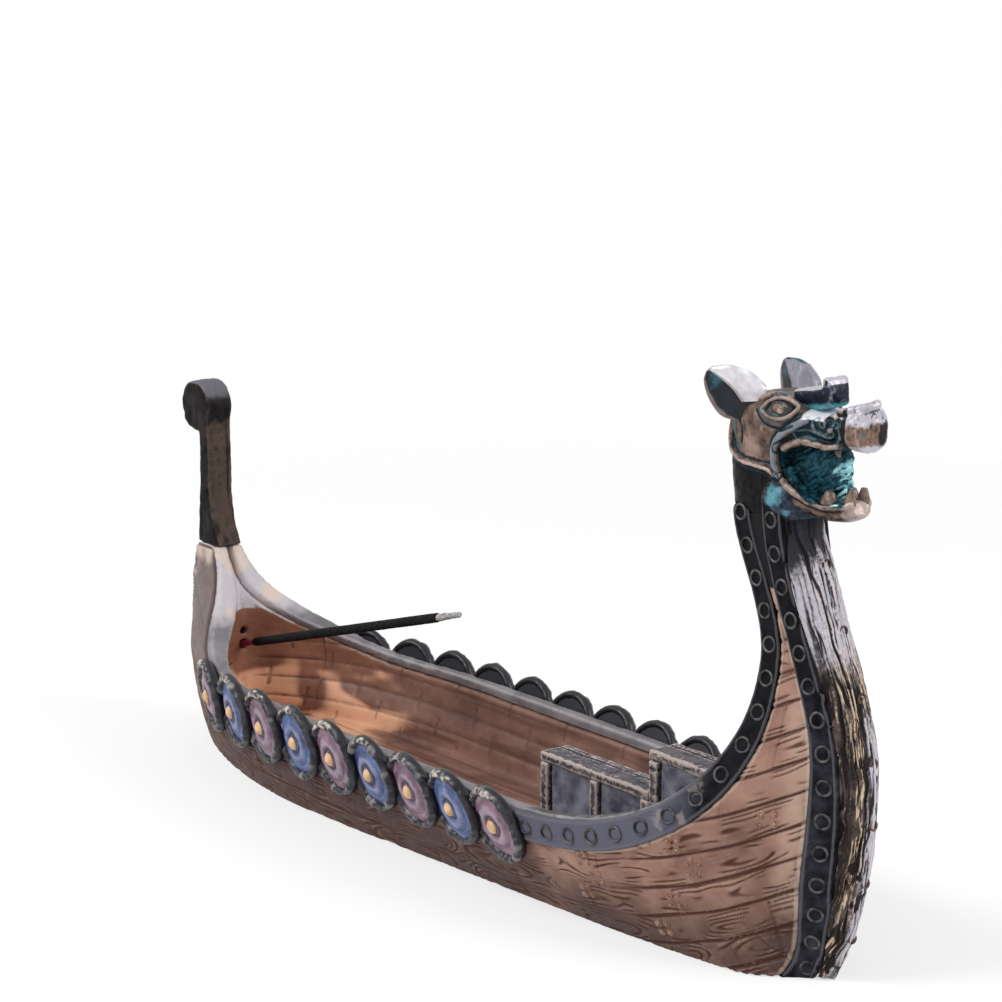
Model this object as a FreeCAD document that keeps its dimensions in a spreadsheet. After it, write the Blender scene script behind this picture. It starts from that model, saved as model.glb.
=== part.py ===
# Longship incense burner: a planked tray hull with a carved stem, a dragon head, a curled stern post,
# two rows of round shields and a slim incense stick that stands in a hole bored in the stern.
# Millimetres. +X points to the bow, +Y to port and +Z up. The origin is on the table, under the middle.

import FreeCAD
import Part

import math
import os

from FreeCAD import Placement, Rotation, Vector

# Driving sizes, in millimetres and degrees. They go into the sheet, and everything below reads them there.
SIZES = {
    # hull lines: how far they reach from the origin, where they are widest, and how wide; an inset is how
    # far a place lies inside that end of the hull
    "hull_bow": 108.0,
    "hull_stern": 108.0,
    "beam_station": -5.0,
    "rail_beam": 49.8,
    "base_bow_inset": 9.5,
    "base_stern_inset": 1.0,
    "base_station": -35.0,
    "base_beam": 40.0,
    "keel_width": 2.0,
    "rail_height": 21.7,
    "floor_height": 5.0,
    "wall_thickness": 3.0,
    "rail_thickness": 2.2,
    # bow: the neck, and the stem that runs up its front
    "neck_width": 9.4,
    "neck_height": 86.0,
    "neck_back_inset": 29.0,
    "waist_back_inset": 19.5,
    "waist_height": 57.0,
    "bow_rise": 30.0,
    "stem_foot_inset": 5.7,
    "belly_overhang": 3.4,
    "belly_height": 38.0,
    "neck_front_inset": 11.7,
    "stem_width": 6.8,
    "stem_depth": 4.6,
    "foot_depth": 3.1,
    "peg_radius": 0.9,
    "peg_height": 0.5,
    "peg_pitch": 11.0,
    # stern: the sweep of the sheer, the block with the stick hole, and the post
    "stern_rise": 60.0,
    "post_front_inset": 7.0,
    "sweep_height": 58.0,
    "block_front_inset": 28.0,
    "block_height": 43.0,
    "block_back_inset": 2.0,
    "heel_inset": 18.0,
    "draw_in_height": 50.0,
    "post_width": 6.6,
    "post_depth": 3.8,
    "curl_radius": 5.8,
    "curl_overhang": 5.1,
    "curl_height": 74.6,
    # tray
    "tray_back_inset": 15.5,
    "tray_bow_inset": 30.0,
    "tray_round": 24.0,
    "arch_height": 29.5,
    "arch_lean": 6.0,
    "cheek_thickness": 1.5,
    # dark bands with ring rivets
    "sheer_band_width": 6.0,
    "stem_band_width": 4.6,
    "band_thickness": 0.8,
    "band_start_inset": 63.5,
    "ring_radius": 1.5,
    "ring_bore": 0.95,
    "ring_height": 0.45,
    "ring_pitch": 5.9,
    "ring_seat": 0.25,
    # shields
    "shield_radius": 8.1,
    "shield_pitch": 13.56,
    "shield_count": 9,
    "shield_first_inset": 72.7,
    "shield_height": 17.1,
    "board_thickness": 1.0,
    "board_crown": 0.7,
    "rim_width": 1.7,
    "rim_height": 2.0,
    "boss_radius": 1.5,
    "boss_height": 0.8,
    "boss_seat": 2.4,
    # stepped bench on the centre line, forward in the tray
    "bench_width": 7.2,
    "bench_gap": 2.45,
    "bench_length": 33.2,
    "bench_top": 24.0,
    "step_top": 32.4,
    "step_length": 21.0,
    "plank_thickness": 2.0,
    "leg_thickness": 2.4,
    "panel_inset": 1.0,
    # incense stick and its holes
    "stick_tilt": 16.0,
    "hole_height": 21.2,
    "hole_radius": 1.05,
    "hole_depth": 10.0,
    "spare_radius": 0.85,
    "spare_depth": 8.0,
    "spare_rise": 3.2,
    "core_radius": 0.7,
    "bare_length": 5.0,
    "coat_radius": 1.05,
    "coat_taper": 14.0,
    "coat_length": 73.0,
    "ash_radius": 0.8,
    "ash_length": 8.0,
    # dragon head
    "nape_overhang": 2.0,
    "head_length": 31.5,
    "head_width": 14.4,
    "head_height": 20.0,
    "ear_length": 12.0,
    "ear_width": 3.6,
    "crest_width": 6.4,
    "eye_radius": 1.6,
    "tooth_radius": 0.8,
    "tooth_height": 2.2,
    # room left between pieces: seats that touch, and edges that only meet
    "seat_gap": 0.05,
    "joint_gap": 0.25,
}

# How full the lines are: exponents of the curves that run from the widest section to each end.
BOW_FULLNESS = 4.6
BOW_BLUNTNESS = 1.1
STERN_FULLNESS = 3.66
BASE_STERN_FULLNESS = 2.2
BASE_BOW_TAPER = 0.42
BASE_BOW_ROUND = 14
BILGE = 1.6
TUMBLE = 2.0
BOW_SWEEP = 2.6
STEM_CURVE = 0.8
# Where the sections of the hull form stand, as shares of the run from the widest section to each end,
# and of the height below and above the rail.
STATION_RUNS = (0.0, 0.25, 0.47, 0.65, 0.78, 0.87, 0.93, 0.97, 1.0)
LOWER_SHARES = (-0.1, 0.0, 0.18, 0.42, 0.7, 0.87, 1.0)
UPPER_SHARES = (0.07, 0.15, 0.26, 0.4, 0.58, 0.78, 1.0)
# Head sections: share of the head's length, of its half width, and of its height at bottom and top.
SKULL = (
    (0.00, 0.50, -0.15, 0.60),
    (0.13, 0.86, -0.15, 0.92),
    (0.28, 1.00, 0.18, 1.02),
    (0.43, 0.97, 0.46, 1.02),
    (0.61, 0.75, 0.53, 0.92),
    (0.79, 0.64, 0.54, 0.90),
    (0.94, 0.61, 0.53, 1.00),
    (1.00, 0.44, 0.62, 0.92),
)
JAW = (
    (0.16, 0.75, -0.15, 0.30),
    (0.34, 0.78, -0.10, 0.36),
    (0.52, 0.67, -0.06, 0.25),
    (0.72, 0.53, -0.03, 0.18),
    (0.88, 0.36, 0.02, 0.19),
)
# The crest's side view, as shares of the head's length and height, from its root round its rolled front.
CREST = ((0.46, 0.96), (0.58, 1.08), (0.70, 1.13), (0.75, 1.08), (0.70, 1.01), (0.60, 0.90), (0.50, 0.88))
# The ear: its root as shares of the head's length, half width and height, the way it points, and the
# widths of its sections along its length.
EAR_ROOT = (0.22, 0.80, 0.86)
EAR_WAY = (-0.86, 0.20, 0.46)
EAR_SECTIONS = ((0.0, 0.75), (0.35, 1.0), (0.7, 0.7), (1.0, 0.12))
EAR_FLATNESS = 0.45
EYE = (0.50, 0.87)
TEETH = (0.70, 0.76, 0.82)
TOOTH_ROW = 0.55
TOOTH_TIP = 0.2
# Points on curves, and how far construction shapes reach past the ship.
LOOP_POINTS = 12
TRAY_POINTS = 15
LINE_POINTS = 36
HALF_SPAN = 60.0
REACH = 200.0
ROOM = 6.0
NORMAL_STEP = 0.5
# Places that move with the bow or the stern of the hull, each by its own inset.
BOW_PLACES = (
    "base_bow", "neck_back", "waist_back", "stem_foot", "neck_front", "tray_bow", "band_start", "shield_first",
)
STERN_PLACES = ("base_stern", "post_front", "block_front", "block_back", "heel", "tray_back")

doc = FreeCAD.newDocument("longship_burner")
sheet = doc.addObject("Spreadsheet::Sheet", "Sizes")
for row, (name, value) in enumerate(SIZES.items(), 1):
    sheet.set(f"A{row}", name)
    sheet.set(f"B{row}", str(value))
    sheet.setAlias(f"B{row}", name)
doc.recompute()
s = {name: float(sheet.get(name)) for name in SIZES}
s.update({name: s["hull_bow"] - s[name + "_inset"] for name in BOW_PLACES})
s.update({name: s["hull_stern"] - s[name + "_inset"] for name in STERN_PLACES})
s["stem_belly"] = s["hull_bow"] + s["belly_overhang"]
gap = s["seat_gap"]
shield_total = int(round(s["shield_count"]))
SIDES = {"starboard": -1, "port": 1}
nodes = []


def keep(feature, label):
    feature.Label = label
    nodes.append(feature)
    return feature


def freeform(label, shape):
    feature = doc.addObject("Part::Feature", label)
    feature.Shape = shape
    feature.Placement = Placement()
    return keep(feature, label)


def primitive(body, kind, name, at=(0, 0, 0), **sizes):
    """A primitive of a body, with each size, and lift along the body's axis, bound to the sheet."""
    feature = body.newObject("PartDesign::" + kind, name)
    feature.Placement = Placement(Vector(*at), Rotation())
    for prop, expression in sizes.items():
        feature.setExpression("Placement.Base.z" if prop == "lift" else prop, expression)
    return feature


def box(label, corner, **sizes):
    feature = doc.addObject("Part::Box", label)
    for prop, expression in sizes.items():
        feature.setExpression(prop, expression)
    for axis, expression in zip("xyz", corner):
        feature.setExpression("Placement.Base." + axis, expression)
    return feature


def group(label, members):
    feature = doc.addObject("Part::Compound", label)
    feature.Links = members
    return keep(feature, label)


def solid_group(label, shapes):
    return freeform(label, Part.makeCompound([solid for shape in shapes for solid in shape.Solids]))


# Hull lines

def smooth(share):
    share = min(max(share, 0.0), 1.0)
    return share * share * (3 - 2 * share)


def stem_front(z):
    """How far forward the stem's front is at one height, from its foot over its belly to the throat."""
    if z < s["belly_height"]:
        share = max(z / s["belly_height"], 0.0) ** STEM_CURVE
        return s["stem_foot"] + (s["stem_belly"] - s["stem_foot"]) * math.sin(math.pi / 2 * share)
    climb = (z - s["belly_height"]) / (s["neck_height"] - s["belly_height"])
    return s["stem_belly"] - (s["stem_belly"] - s["neck_front"]) * smooth(climb)


def stem_depth(z):
    return s["foot_depth"] + (s["stem_depth"] - s["foot_depth"]) * smooth(z / s["belly_height"])


def rail_half(x):
    middle = s["beam_station"]
    if x >= middle:
        end, run = s["stem_width"] / 2, min((x - middle) / (s["hull_bow"] - middle), 1.0)
        share = (1 - run**BOW_FULLNESS) ** (1 / BOW_BLUNTNESS)
    else:
        end, run = s["post_width"] / 2, min((middle - x) / (s["hull_stern"] + middle), 1.0)
        share = 1 - run**STERN_FULLNESS
    return end + (s["rail_beam"] / 2 - end) * share


def base_half(x):
    middle = s["base_station"]
    keel = s["keel_width"] / 2
    full = s["base_beam"] / 2 - keel
    if x >= middle:
        run = min((x - middle) / (s["base_bow"] - middle), 1.0)
        return keel + full * (1 - BASE_BOW_TAPER * run) * math.sqrt(1 - run**BASE_BOW_ROUND)
    run = min((middle - x) / (s["base_stern"] + middle), 1.0)
    return keel + full * (1 - run**BASE_STERN_FULLNESS)


def side_half(x, z):
    """Half the width of the hull at x and z: base, bilge, rail, then the draw-in to a post above the rail.

    The bow's lines are drawn back with the rake of the stem."""
    rake = s["hull_bow"] - stem_front(z) + stem_depth(z)
    rail = rail_half(x + rake * smooth((x - s["bow_rise"]) / (s["hull_bow"] - rake - s["bow_rise"])))
    base = base_half(x)
    rise = max(z, 0.0) / s["rail_height"]
    if rise <= 1:
        return base + (rail - base) * (1 - (1 - rise) ** BILGE)
    forward = smooth((x + s["stern_rise"]) / (s["stern_rise"] + s["bow_rise"]))
    post = s["post_width"] / 2 + forward * (s["neck_width"] - s["post_width"]) / 2
    top = s["draw_in_height"] + forward * (s["neck_height"] - s["draw_in_height"])
    climb = min((z - s["rail_height"]) / (top - s["rail_height"]), 1.0)
    return post + (rail - post) * (0.5 + 0.5 * math.cos(math.pi * climb)) ** TUMBLE


def side_normal(x, z, side):
    """Outward normal of the hull's side, where side is -1 to starboard and 1 to port."""
    step = NORMAL_STEP
    along = (side_half(x + step, z) - side_half(x - step, z)) / (2 * step)
    up = (side_half(x, z + step) - side_half(x, z - step)) / (2 * step)
    return Vector(-along, side, -up).normalize()


def on_side(x, z, side, lift):
    """Place and direction of a piece that sits on the hull's side, lifted off it by a distance."""
    normal = side_normal(x, z, side)
    return Vector(x, side * side_half(x, z), z) + normal * lift, normal


def stations():
    middle = s["beam_station"]
    aft = [middle - run * (s["hull_stern"] + middle) for run in reversed(STATION_RUNS[1:])]
    return aft + [middle + run * (s["hull_bow"] - middle) for run in STATION_RUNS]


def section_levels():
    low = [share * s["rail_height"] for share in LOWER_SHARES]
    above = s["neck_height"] + ROOM - s["rail_height"]
    return low + [s["rail_height"] + share * above for share in UPPER_SHARES]


def hull_form(grow):
    """The hull's outer form as a solid, its sides moved out by grow, before it is cut to its profile."""
    levels = section_levels()
    wires = []
    for x in stations():
        halves = [side_half(x, z) + grow for z in levels]
        starboard = [Vector(x, -half, z) for half, z in zip(halves, levels)]
        port = [Vector(x, half, z) for half, z in zip(halves, levels)]
        wires.append(Part.Wire([
            spline_edge(starboard, levels),
            Part.makeLine(starboard[-1], port[-1]),
            spline_edge(port, levels),
            Part.makeLine(port[0], starboard[0]),
        ]))
    return Part.makeLoft(wires, True, False)


# Lines of the side view

def spline_edge(points, parameters=None):
    spline = Part.BSplineCurve()
    if parameters:
        spline.interpolate(Points=points, Parameters=parameters)
    else:
        spline.interpolate(points)
    return spline.toShape()


def loop_wire(points):
    spline = Part.BSplineCurve()
    spline.interpolate(Points=points, PeriodicFlag=True, Parameters=list(range(len(points) + 1)))
    return Part.Wire(spline.toShape())


def side_line(points):
    spline = Part.BSplineCurve()
    spline.interpolate([Vector(x, 0, z) for x, z in points])
    return spline


def sheer_points():
    """From above the neck, down its back and along the rail, and up the front of the stern post."""
    points = [(s["neck_back"], s["neck_height"] + ROOM)]
    for share in (1.0, 0.75, 0.5, 0.25):
        z = s["waist_height"] + share * (s["neck_height"] - s["waist_height"])
        points.append((s["waist_back"] - (s["waist_back"] - s["neck_back"]) * smooth(share), z))
    sweep = s["waist_back"] - s["bow_rise"]
    climb = s["waist_height"] - s["rail_height"]
    for angle in (90, 72, 54, 36, 18, 0):
        run = math.sin(math.radians(angle)) ** (2 / BOW_SWEEP)
        rise = 1 - math.cos(math.radians(angle)) ** (2 / BOW_SWEEP)
        points.append((s["bow_rise"] + sweep * run, s["rail_height"] + climb * rise))
    for share in (0.2, 0.4, 0.6, 0.8):
        points.append((s["bow_rise"] - share * (s["bow_rise"] + s["stern_rise"]), s["rail_height"]))
    reach = s["post_front"] - s["stern_rise"]
    lift = s["sweep_height"] - s["rail_height"]
    for angle in (0, 22, 45, 68, 90):
        run, rise = math.sin(math.radians(angle)), 1 - math.cos(math.radians(angle))
        points.append((-s["stern_rise"] - reach * run, s["rail_height"] + lift * rise))
    return points


def stem_points():
    """The front of the stem, from under its foot to above the throat."""
    low, high = s["belly_height"], s["neck_height"]
    heights = [share * low for share in (0.0, 0.16, 0.4, 0.7, 1.0)]
    heights += [low + share * (high - low) for share in (0.2, 0.4, 0.6, 0.8, 1.0)]
    points = [(s["stem_foot"] - ROOM / 2, -ROOM)]
    points += [(stem_front(z), z) for z in heights]
    return points + [(s["neck_front"], high + ROOM)]


sheer = side_line(sheer_points())
stem = side_line(stem_points())


def find(line, axis, value, first, last):
    """The parameter at which a line's x or z reaches a value, found by halving."""
    rising = getattr(line.value(last), axis) > getattr(line.value(first), axis)
    for _ in range(50):
        middle = (first + last) / 2
        if (getattr(line.value(middle), axis) < value) == rising:
            first = middle
        else:
            last = middle
    return first


def beside(line, distance, first=None, last=None):
    """Points beside a line, to the right of its travel, between two of its parameters."""
    first = line.FirstParameter if first is None else first
    last = line.LastParameter if last is None else last
    points = []
    for i in range(LINE_POINTS + 1):
        u = first + (last - first) * i / LINE_POINTS
        tangent = line.tangent(u)[0]
        points.append(line.value(u) + Vector(tangent.z, 0, -tangent.x) * distance)
    return points


def spaced(points, pitch, margin):
    """Points at an even pitch along a chain of points, with the first and last a margin from its ends."""
    lengths = [0.0]
    for a, b in zip(points, points[1:]):
        lengths.append(lengths[-1] + (b - a).Length)
    count = max(int((lengths[-1] - 2 * margin) / pitch), 1)
    step = (lengths[-1] - 2 * margin) / count
    result = []
    for i in range(count + 1):
        target = min(margin + i * step, lengths[-1] * 0.9999)
        k = next(k for k in range(1, len(lengths)) if lengths[k] > target)
        share = (target - lengths[k - 1]) / (lengths[k] - lengths[k - 1])
        result.append(points[k - 1] + (points[k] - points[k - 1]) * share)
    return result


def prism(edges):
    """A closed outline of the side view, carried right across the ship."""
    face = Part.Face(Part.Wire(Part.sortEdges(edges)[0]))
    face.translate(Vector(0, -HALF_SPAN, 0))
    return face.extrude(Vector(0, 2 * HALF_SPAN, 0))


def behind(distance, first=None, last=None):
    """Points straight behind the back of the stem, between two of its front's parameters."""
    return [point - Vector(stem_depth(point.z) + distance, 0, 0) for point in beside(stem, 0, first, last)]


def between_lines(inner, outer):
    """The part of the side view between two chains of points, carried across the ship."""
    return prism([
        spline_edge(inner),
        Part.makeLine(inner[-1], outer[-1]),
        spline_edge(outer),
        Part.makeLine(outer[0], inner[0]),
    ])


def half_space(side):
    """Everything on one side of the centre plane, a seat's gap away from it."""
    block = Part.makeBox(2 * REACH, HALF_SPAN, 2 * REACH)
    return block.translated(Vector(-REACH, gap / 2 if side > 0 else -HALF_SPAN - gap / 2, -REACH))


def slab(low_x, high_x, low_z, high_z):
    block = Part.makeBox(high_x - low_x, 2 * HALF_SPAN, high_z - low_z)
    return block.translated(Vector(low_x, -HALF_SPAN, low_z))


# Hull, rails and bands

def tray_outline(z):
    """The tray's plan at one height: inside the hull's sides by the wall, and rounded at both ends.

    Above the arch over the stick hole the back leans aft, and the wall thins to the stern's cheeks."""
    lean = smooth((z - s["arch_height"]) / (s["block_height"] - s["arch_height"]))
    wall = s["wall_thickness"] + lean * (s["cheek_thickness"] - s["wall_thickness"])
    back, bow, ease = -s["tray_back"] - lean * s["arch_lean"], s["tray_bow"], s["tray_round"]
    half = []
    for i in range(TRAY_POINTS):
        x = back + (bow - back) * (1 - math.cos(math.pi * i / (TRAY_POINTS - 1))) / 2
        run = max(back + ease - x, x - bow + ease, 0.0) / ease
        half.append((x, max(side_half(x, z) - wall, gap) * math.sqrt(max(1 - run**2, 0.0))))
    return loop_wire([Vector(x, -y, z) for x, y in half] + [Vector(x, y, z) for x, y in half[-2:0:-1]])


def tray():
    floor, rail, arch, top = s["floor_height"], s["rail_height"], s["arch_height"], s["block_height"]
    levels = (floor, (floor + rail) / 2, rail, arch, (arch + top) / 2, top + ROOM)
    return Part.makeLoft([tray_outline(z) for z in levels], True, False)


form = hull_form(0)
hollow = tray()


def hull_profile():
    """The hull's side view, under the rail and behind the stem."""
    top = beside(sheer, -s["rail_thickness"] - gap)
    front = behind(0)
    heel = Vector(-s["heel"], 0, -ROOM)
    back = [
        Vector(-s["block_back"], 0, s["sweep_height"]),
        Vector(-s["block_back"], 0, s["block_height"]),
        Vector(-s["hull_stern"], 0, 0.7 * s["block_height"]),
        Vector(-(s["hull_stern"] + s["heel"]) / 2, 0, 0.12 * s["block_height"]),
        heel,
    ]
    return prism([
        spline_edge(front),
        Part.makeLine(front[-1], top[0]),
        spline_edge(top),
        Part.makeLine(top[-1], back[0]),
        spline_edge(back),
        Part.makeLine(heel, front[0]),
    ])


def stick_place(rise=0.0):
    """On the back wall of the tray, turned so that Z runs up along the stick."""
    return Placement(Vector(-s["tray_back"], 0, s["hole_height"] + rise),
                     Rotation(Vector(0, 1, 0), 90 - s["stick_tilt"]))


def bore(radius, depth, rise=0.0):
    drill = Part.makeCylinder(radius, depth + ROOM, Vector(0, 0, -depth))
    drill.Placement = stick_place(rise)
    return drill


def make_hull():
    hull = form.common(hull_profile()).cut(hollow)
    joint = -s["block_front"]
    freeform("hull_shell", hull.common(slab(joint + gap, REACH, 0, s["neck_height"])))
    block = hull.common(slab(-REACH, joint, 0, s["block_height"]))
    block = block.cut(bore(s["hole_radius"], s["hole_depth"]))
    freeform("stern_block", block.cut(bore(s["spare_radius"], s["spare_depth"], s["spare_rise"])))


def make_rails():
    cap = form.common(between_lines(beside(sheer, 0), beside(sheer, -s["rail_thickness"])))
    cap = cap.cut(slab(-REACH, 0, s["block_height"], REACH))
    cap = cap.common(slab(-REACH, REACH, 0, s["neck_height"]))
    port = cap.common(half_space(1)).cut(hollow)
    freeform("port_rail", port)
    freeform("starboard_rail", port.mirror(Vector(), Vector(0, 1, 0)))


def make_bands():
    inner, outer = hull_form(gap), hull_form(gap + s["band_thickness"])
    within = slab(s["band_start"], REACH, 0, s["neck_height"])
    upper = beside(sheer, 0, sheer.FirstParameter, band_end)
    lower = beside(sheer, -s["sheer_band_width"], sheer.FirstParameter, band_end)
    sheer_strip = between_lines(upper, lower).common(within)
    stem_strip = between_lines(behind(gap), behind(gap + s["stem_band_width"])).common(within)
    for kind, region in (("sheer", sheer_strip), ("stem", stem_strip.cut(sheer_strip))):
        skin = outer.common(region).cut(inner)
        for name, side in SIDES.items():
            freeform(f"{name}_{kind}_band", skin.common(half_space(side)))


def ring_shape():
    """One ring rivet: a low washer that stands on its own XY plane."""
    ring = Part.makeCylinder(s["ring_radius"], s["ring_height"])
    return ring.cut(Part.makeCylinder(s["ring_bore"], s["ring_height"]))


def make_rings():
    ring = ring_shape()
    lift = gap + s["band_thickness"] + s["ring_seat"]
    neck = find(sheer, "z", s["neck_height"], sheer.FirstParameter, band_end)
    start = find(sheer, "x", s["band_start"], neck, band_end)
    ends = (s["ring_pitch"], s["neck_height"])
    foot, top = (find(stem, "z", z, stem.FirstParameter, stem.LastParameter) for z in ends)
    lines = {
        "sheer": (beside(sheer, -s["sheer_band_width"] / 2, neck, start), 2 * s["ring_radius"]),
        "stem": (behind(gap + s["stem_band_width"] / 2, foot, top), s["ring_pitch"]),
    }
    for kind, (points, margin) in lines.items():
        for name, side in SIDES.items():
            copies = []
            for point in spaced(points, s["ring_pitch"], margin):
                place, normal = on_side(point.x, point.z, side, lift)
                copy = ring.copy()
                copy.Placement = Placement(place, Rotation(Vector(0, 0, 1), normal))
                copies.append(copy)
            solid_group(f"{name}_{kind}_rings", copies)


# Stem and stern posts

def stem_section(z):
    """The stem at one height: a blunt carved nose as wide as the hull and its bands behind it."""
    u = find(stem, "z", z, stem.FirstParameter, stem.LastParameter)
    front = stem.value(u).x
    depth = stem_depth(z)
    back = front - 2 * depth
    half = side_half(front - depth, z) + gap + s["band_thickness"]
    nose = [(back, -half), (front - depth, -half), (front - 0.25 * depth, -0.5 * half), (front, 0)]
    points = [Vector(x, y, z) for x, y in nose + [(x, -y) for x, y in nose[-2::-1]]]
    return Part.Wire([spline_edge(points, list(range(len(points)))), Part.makeLine(points[-1], points[0])])


def make_stem():
    shares = (-0.05, 0.0, 0.1, 0.22, 0.35, 0.48, 0.62, 0.75, 0.88, 1.03)
    post = Part.makeLoft([stem_section(share * s["neck_height"]) for share in shares], True, False)
    front = between_lines(behind(-s["stem_depth"] - ROOM), behind(-gap))
    freeform("stem_post", post.common(front).common(slab(0, REACH, 0, s["neck_height"])))
    pegs = []
    foot, top = (find(stem, "z", z, stem.FirstParameter, stem.LastParameter) for z in (0, s["neck_height"]))
    for point in spaced(beside(stem, gap, foot, top), s["peg_pitch"], s["peg_pitch"]):
        u = find(stem, "z", point.z, stem.FirstParameter, stem.LastParameter)
        tangent = stem.tangent(u)[0]
        normal = Vector(tangent.z, 0, -tangent.x)
        pegs.append(Part.makeCylinder(s["peg_radius"], s["peg_height"], point, normal))
    solid_group("stem_pegs", pegs)


def make_stern_post():
    """The post stands on the stern block, and its curled knob leans aft over it."""
    low = s["block_height"] + gap
    first = find(sheer, "z", low, find(sheer, "x", -s["stern_rise"], band_end, sheer.LastParameter),
                 sheer.LastParameter)
    front = [sheer.value(first + (sheer.LastParameter - first) * i / 4) for i in range(5)]
    front_x, back_x = -s["post_front"], -s["post_front"] - s["post_depth"]
    neck = s["curl_height"]
    outline = [
        spline_edge(front),
        Part.makeLine(front[-1], Vector(front_x, 0, neck)),
        Part.makeLine(Vector(front_x, 0, neck), Vector(back_x, 0, neck)),
        Part.makeLine(Vector(back_x, 0, neck), Vector(back_x, 0, s["sweep_height"])),
        Part.makeLine(Vector(back_x, 0, s["sweep_height"]), Vector(-s["block_back"], 0, low)),
        Part.makeLine(Vector(-s["block_back"], 0, low), front[0]),
    ]
    half = s["post_width"] / 2
    across = slab(-REACH, 0, 0, REACH).common(
        Part.makeBox(REACH, 2 * half, REACH, Vector(-REACH, -half, 0)))
    curl = Part.makeCylinder(s["curl_radius"], 2 * half, Vector(front_x - s["curl_overhang"], -half, neck),
                             Vector(0, 1, 0))
    freeform("stern_post", prism(outline).common(across).fuse(curl).removeSplitter())


# Shields

def shield_places(side):
    """Middle of each shield on the hull's side, and its turn: Z outward and X towards the bow."""
    places = []
    for k in range(shield_total):
        x = s["shield_first"] - k * s["shield_pitch"]
        place, normal = on_side(x, s["shield_height"], side, gap)
        bow = Vector(1, 0, 0)
        along = (bow - normal * bow.dot(normal)).normalize()
        places.append(Placement(place, Rotation(along, normal.cross(along), normal, "ZXY")))
    return places


def bite_centre(places, k):
    """Where the next shield aft covers this one, in this shield's own plane."""
    return places[k].inverse().multVec(places[k + 1].Base)


def take_bite(body, places, k):
    """The next shield aft lies over this one's edge, so that much is left out of it."""
    if k + 1 == len(places):
        return
    centre = bite_centre(places, k)
    primitive(body, "SubtractiveCylinder", body.Label + "_bite", (centre.x, centre.y, -ROOM),
              Radius="Sizes.shield_radius + Sizes.joint_gap",
              Height="Sizes.rim_height + Sizes.shield_radius")


def make_shields():
    for name, side in SIDES.items():
        places = shield_places(side)
        rims, bosses = [], []
        for k, place in enumerate(places):
            tag = f"{name}_shield_{k + 1}"
            board = keep(doc.addObject("PartDesign::Body", tag), tag)
            primitive(board, "AdditiveCylinder", tag + "_disc",
                      Radius="Sizes.shield_radius - Sizes.rim_width - Sizes.seat_gap",
                      Height="Sizes.board_thickness")
            primitive(board, "AdditiveCone", tag + "_crown",
                      Radius1="Sizes.shield_radius - Sizes.rim_width - Sizes.seat_gap",
                      Radius2="Sizes.boss_seat", Height="Sizes.board_crown", lift="Sizes.board_thickness")
            rim = doc.addObject("PartDesign::Body", tag + "_rim")
            primitive(rim, "AdditiveCylinder", tag + "_hoop",
                      Radius="Sizes.shield_radius", Height="Sizes.rim_height")
            primitive(rim, "SubtractiveCylinder", tag + "_eye", (0, 0, -ROOM),
                      Radius="Sizes.shield_radius - Sizes.rim_width",
                      Height="Sizes.rim_height + Sizes.shield_radius")
            boss = doc.addObject("PartDesign::Body", tag + "_boss")
            primitive(boss, "AdditiveCone", tag + "_dome", Radius1="Sizes.boss_radius",
                      Radius2="Sizes.boss_radius / 2", Height="Sizes.boss_height",
                      lift="Sizes.board_thickness + Sizes.board_crown + Sizes.seat_gap")
            take_bite(board, places, k)
            take_bite(rim, places, k)
            for body in (board, rim, boss):
                body.Placement = place
            rims.append(rim)
            bosses.append(boss)
        group(name + "_shield_rims", rims)
        group(name + "_shield_bosses", bosses)


# Bench

def make_bench():
    """Two steps of one framed bench: a plank on posts that stand on the floor, with sunk panels between."""
    half = "-Sizes.bench_width / 2"
    floor = "Sizes.floor_height + Sizes.seat_gap"
    step_back = "Sizes.hull_bow - Sizes.tray_bow_inset - Sizes.bench_gap - Sizes.step_length"
    bench_back = f"{step_back} - Sizes.bench_length - Sizes.seat_gap"
    for tag, start, length, top, posts in (
        ("bench", bench_back, "Sizes.bench_length", "Sizes.bench_top", 3),
        ("step", step_back, "Sizes.step_length", "Sizes.step_top", 2),
    ):
        rise = f"{top} - Sizes.plank_thickness - Sizes.floor_height - 2 * Sizes.seat_gap"
        plank = box(tag + "_top", (start, half, f"{top} - Sizes.plank_thickness"),
                    Length=length, Width="Sizes.bench_width", Height="Sizes.plank_thickness")
        keep(plank, tag + "_top")
        bay = f"({length} - Sizes.leg_thickness) / {posts - 1}"
        legs, panels = [], []
        for i in range(posts):
            corner = (f"{start} + {i} * {bay}", half, floor)
            legs.append(box(f"{tag}_post_{i + 1}", corner, Length="Sizes.leg_thickness",
                            Width="Sizes.bench_width", Height=rise))
        for i in range(posts - 1):
            corner = (f"{start} + {i} * {bay} + Sizes.leg_thickness + Sizes.seat_gap",
                      f"{half} + Sizes.panel_inset", floor)
            panels.append(box(f"{tag}_panel_{i + 1}", corner,
                              Length=f"{bay} - Sizes.leg_thickness - 2 * Sizes.seat_gap",
                              Width="Sizes.bench_width - 2 * Sizes.panel_inset", Height=rise))
        group(tag + "_posts", legs)
        group(tag + "_panels", panels)


# Incense stick

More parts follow.
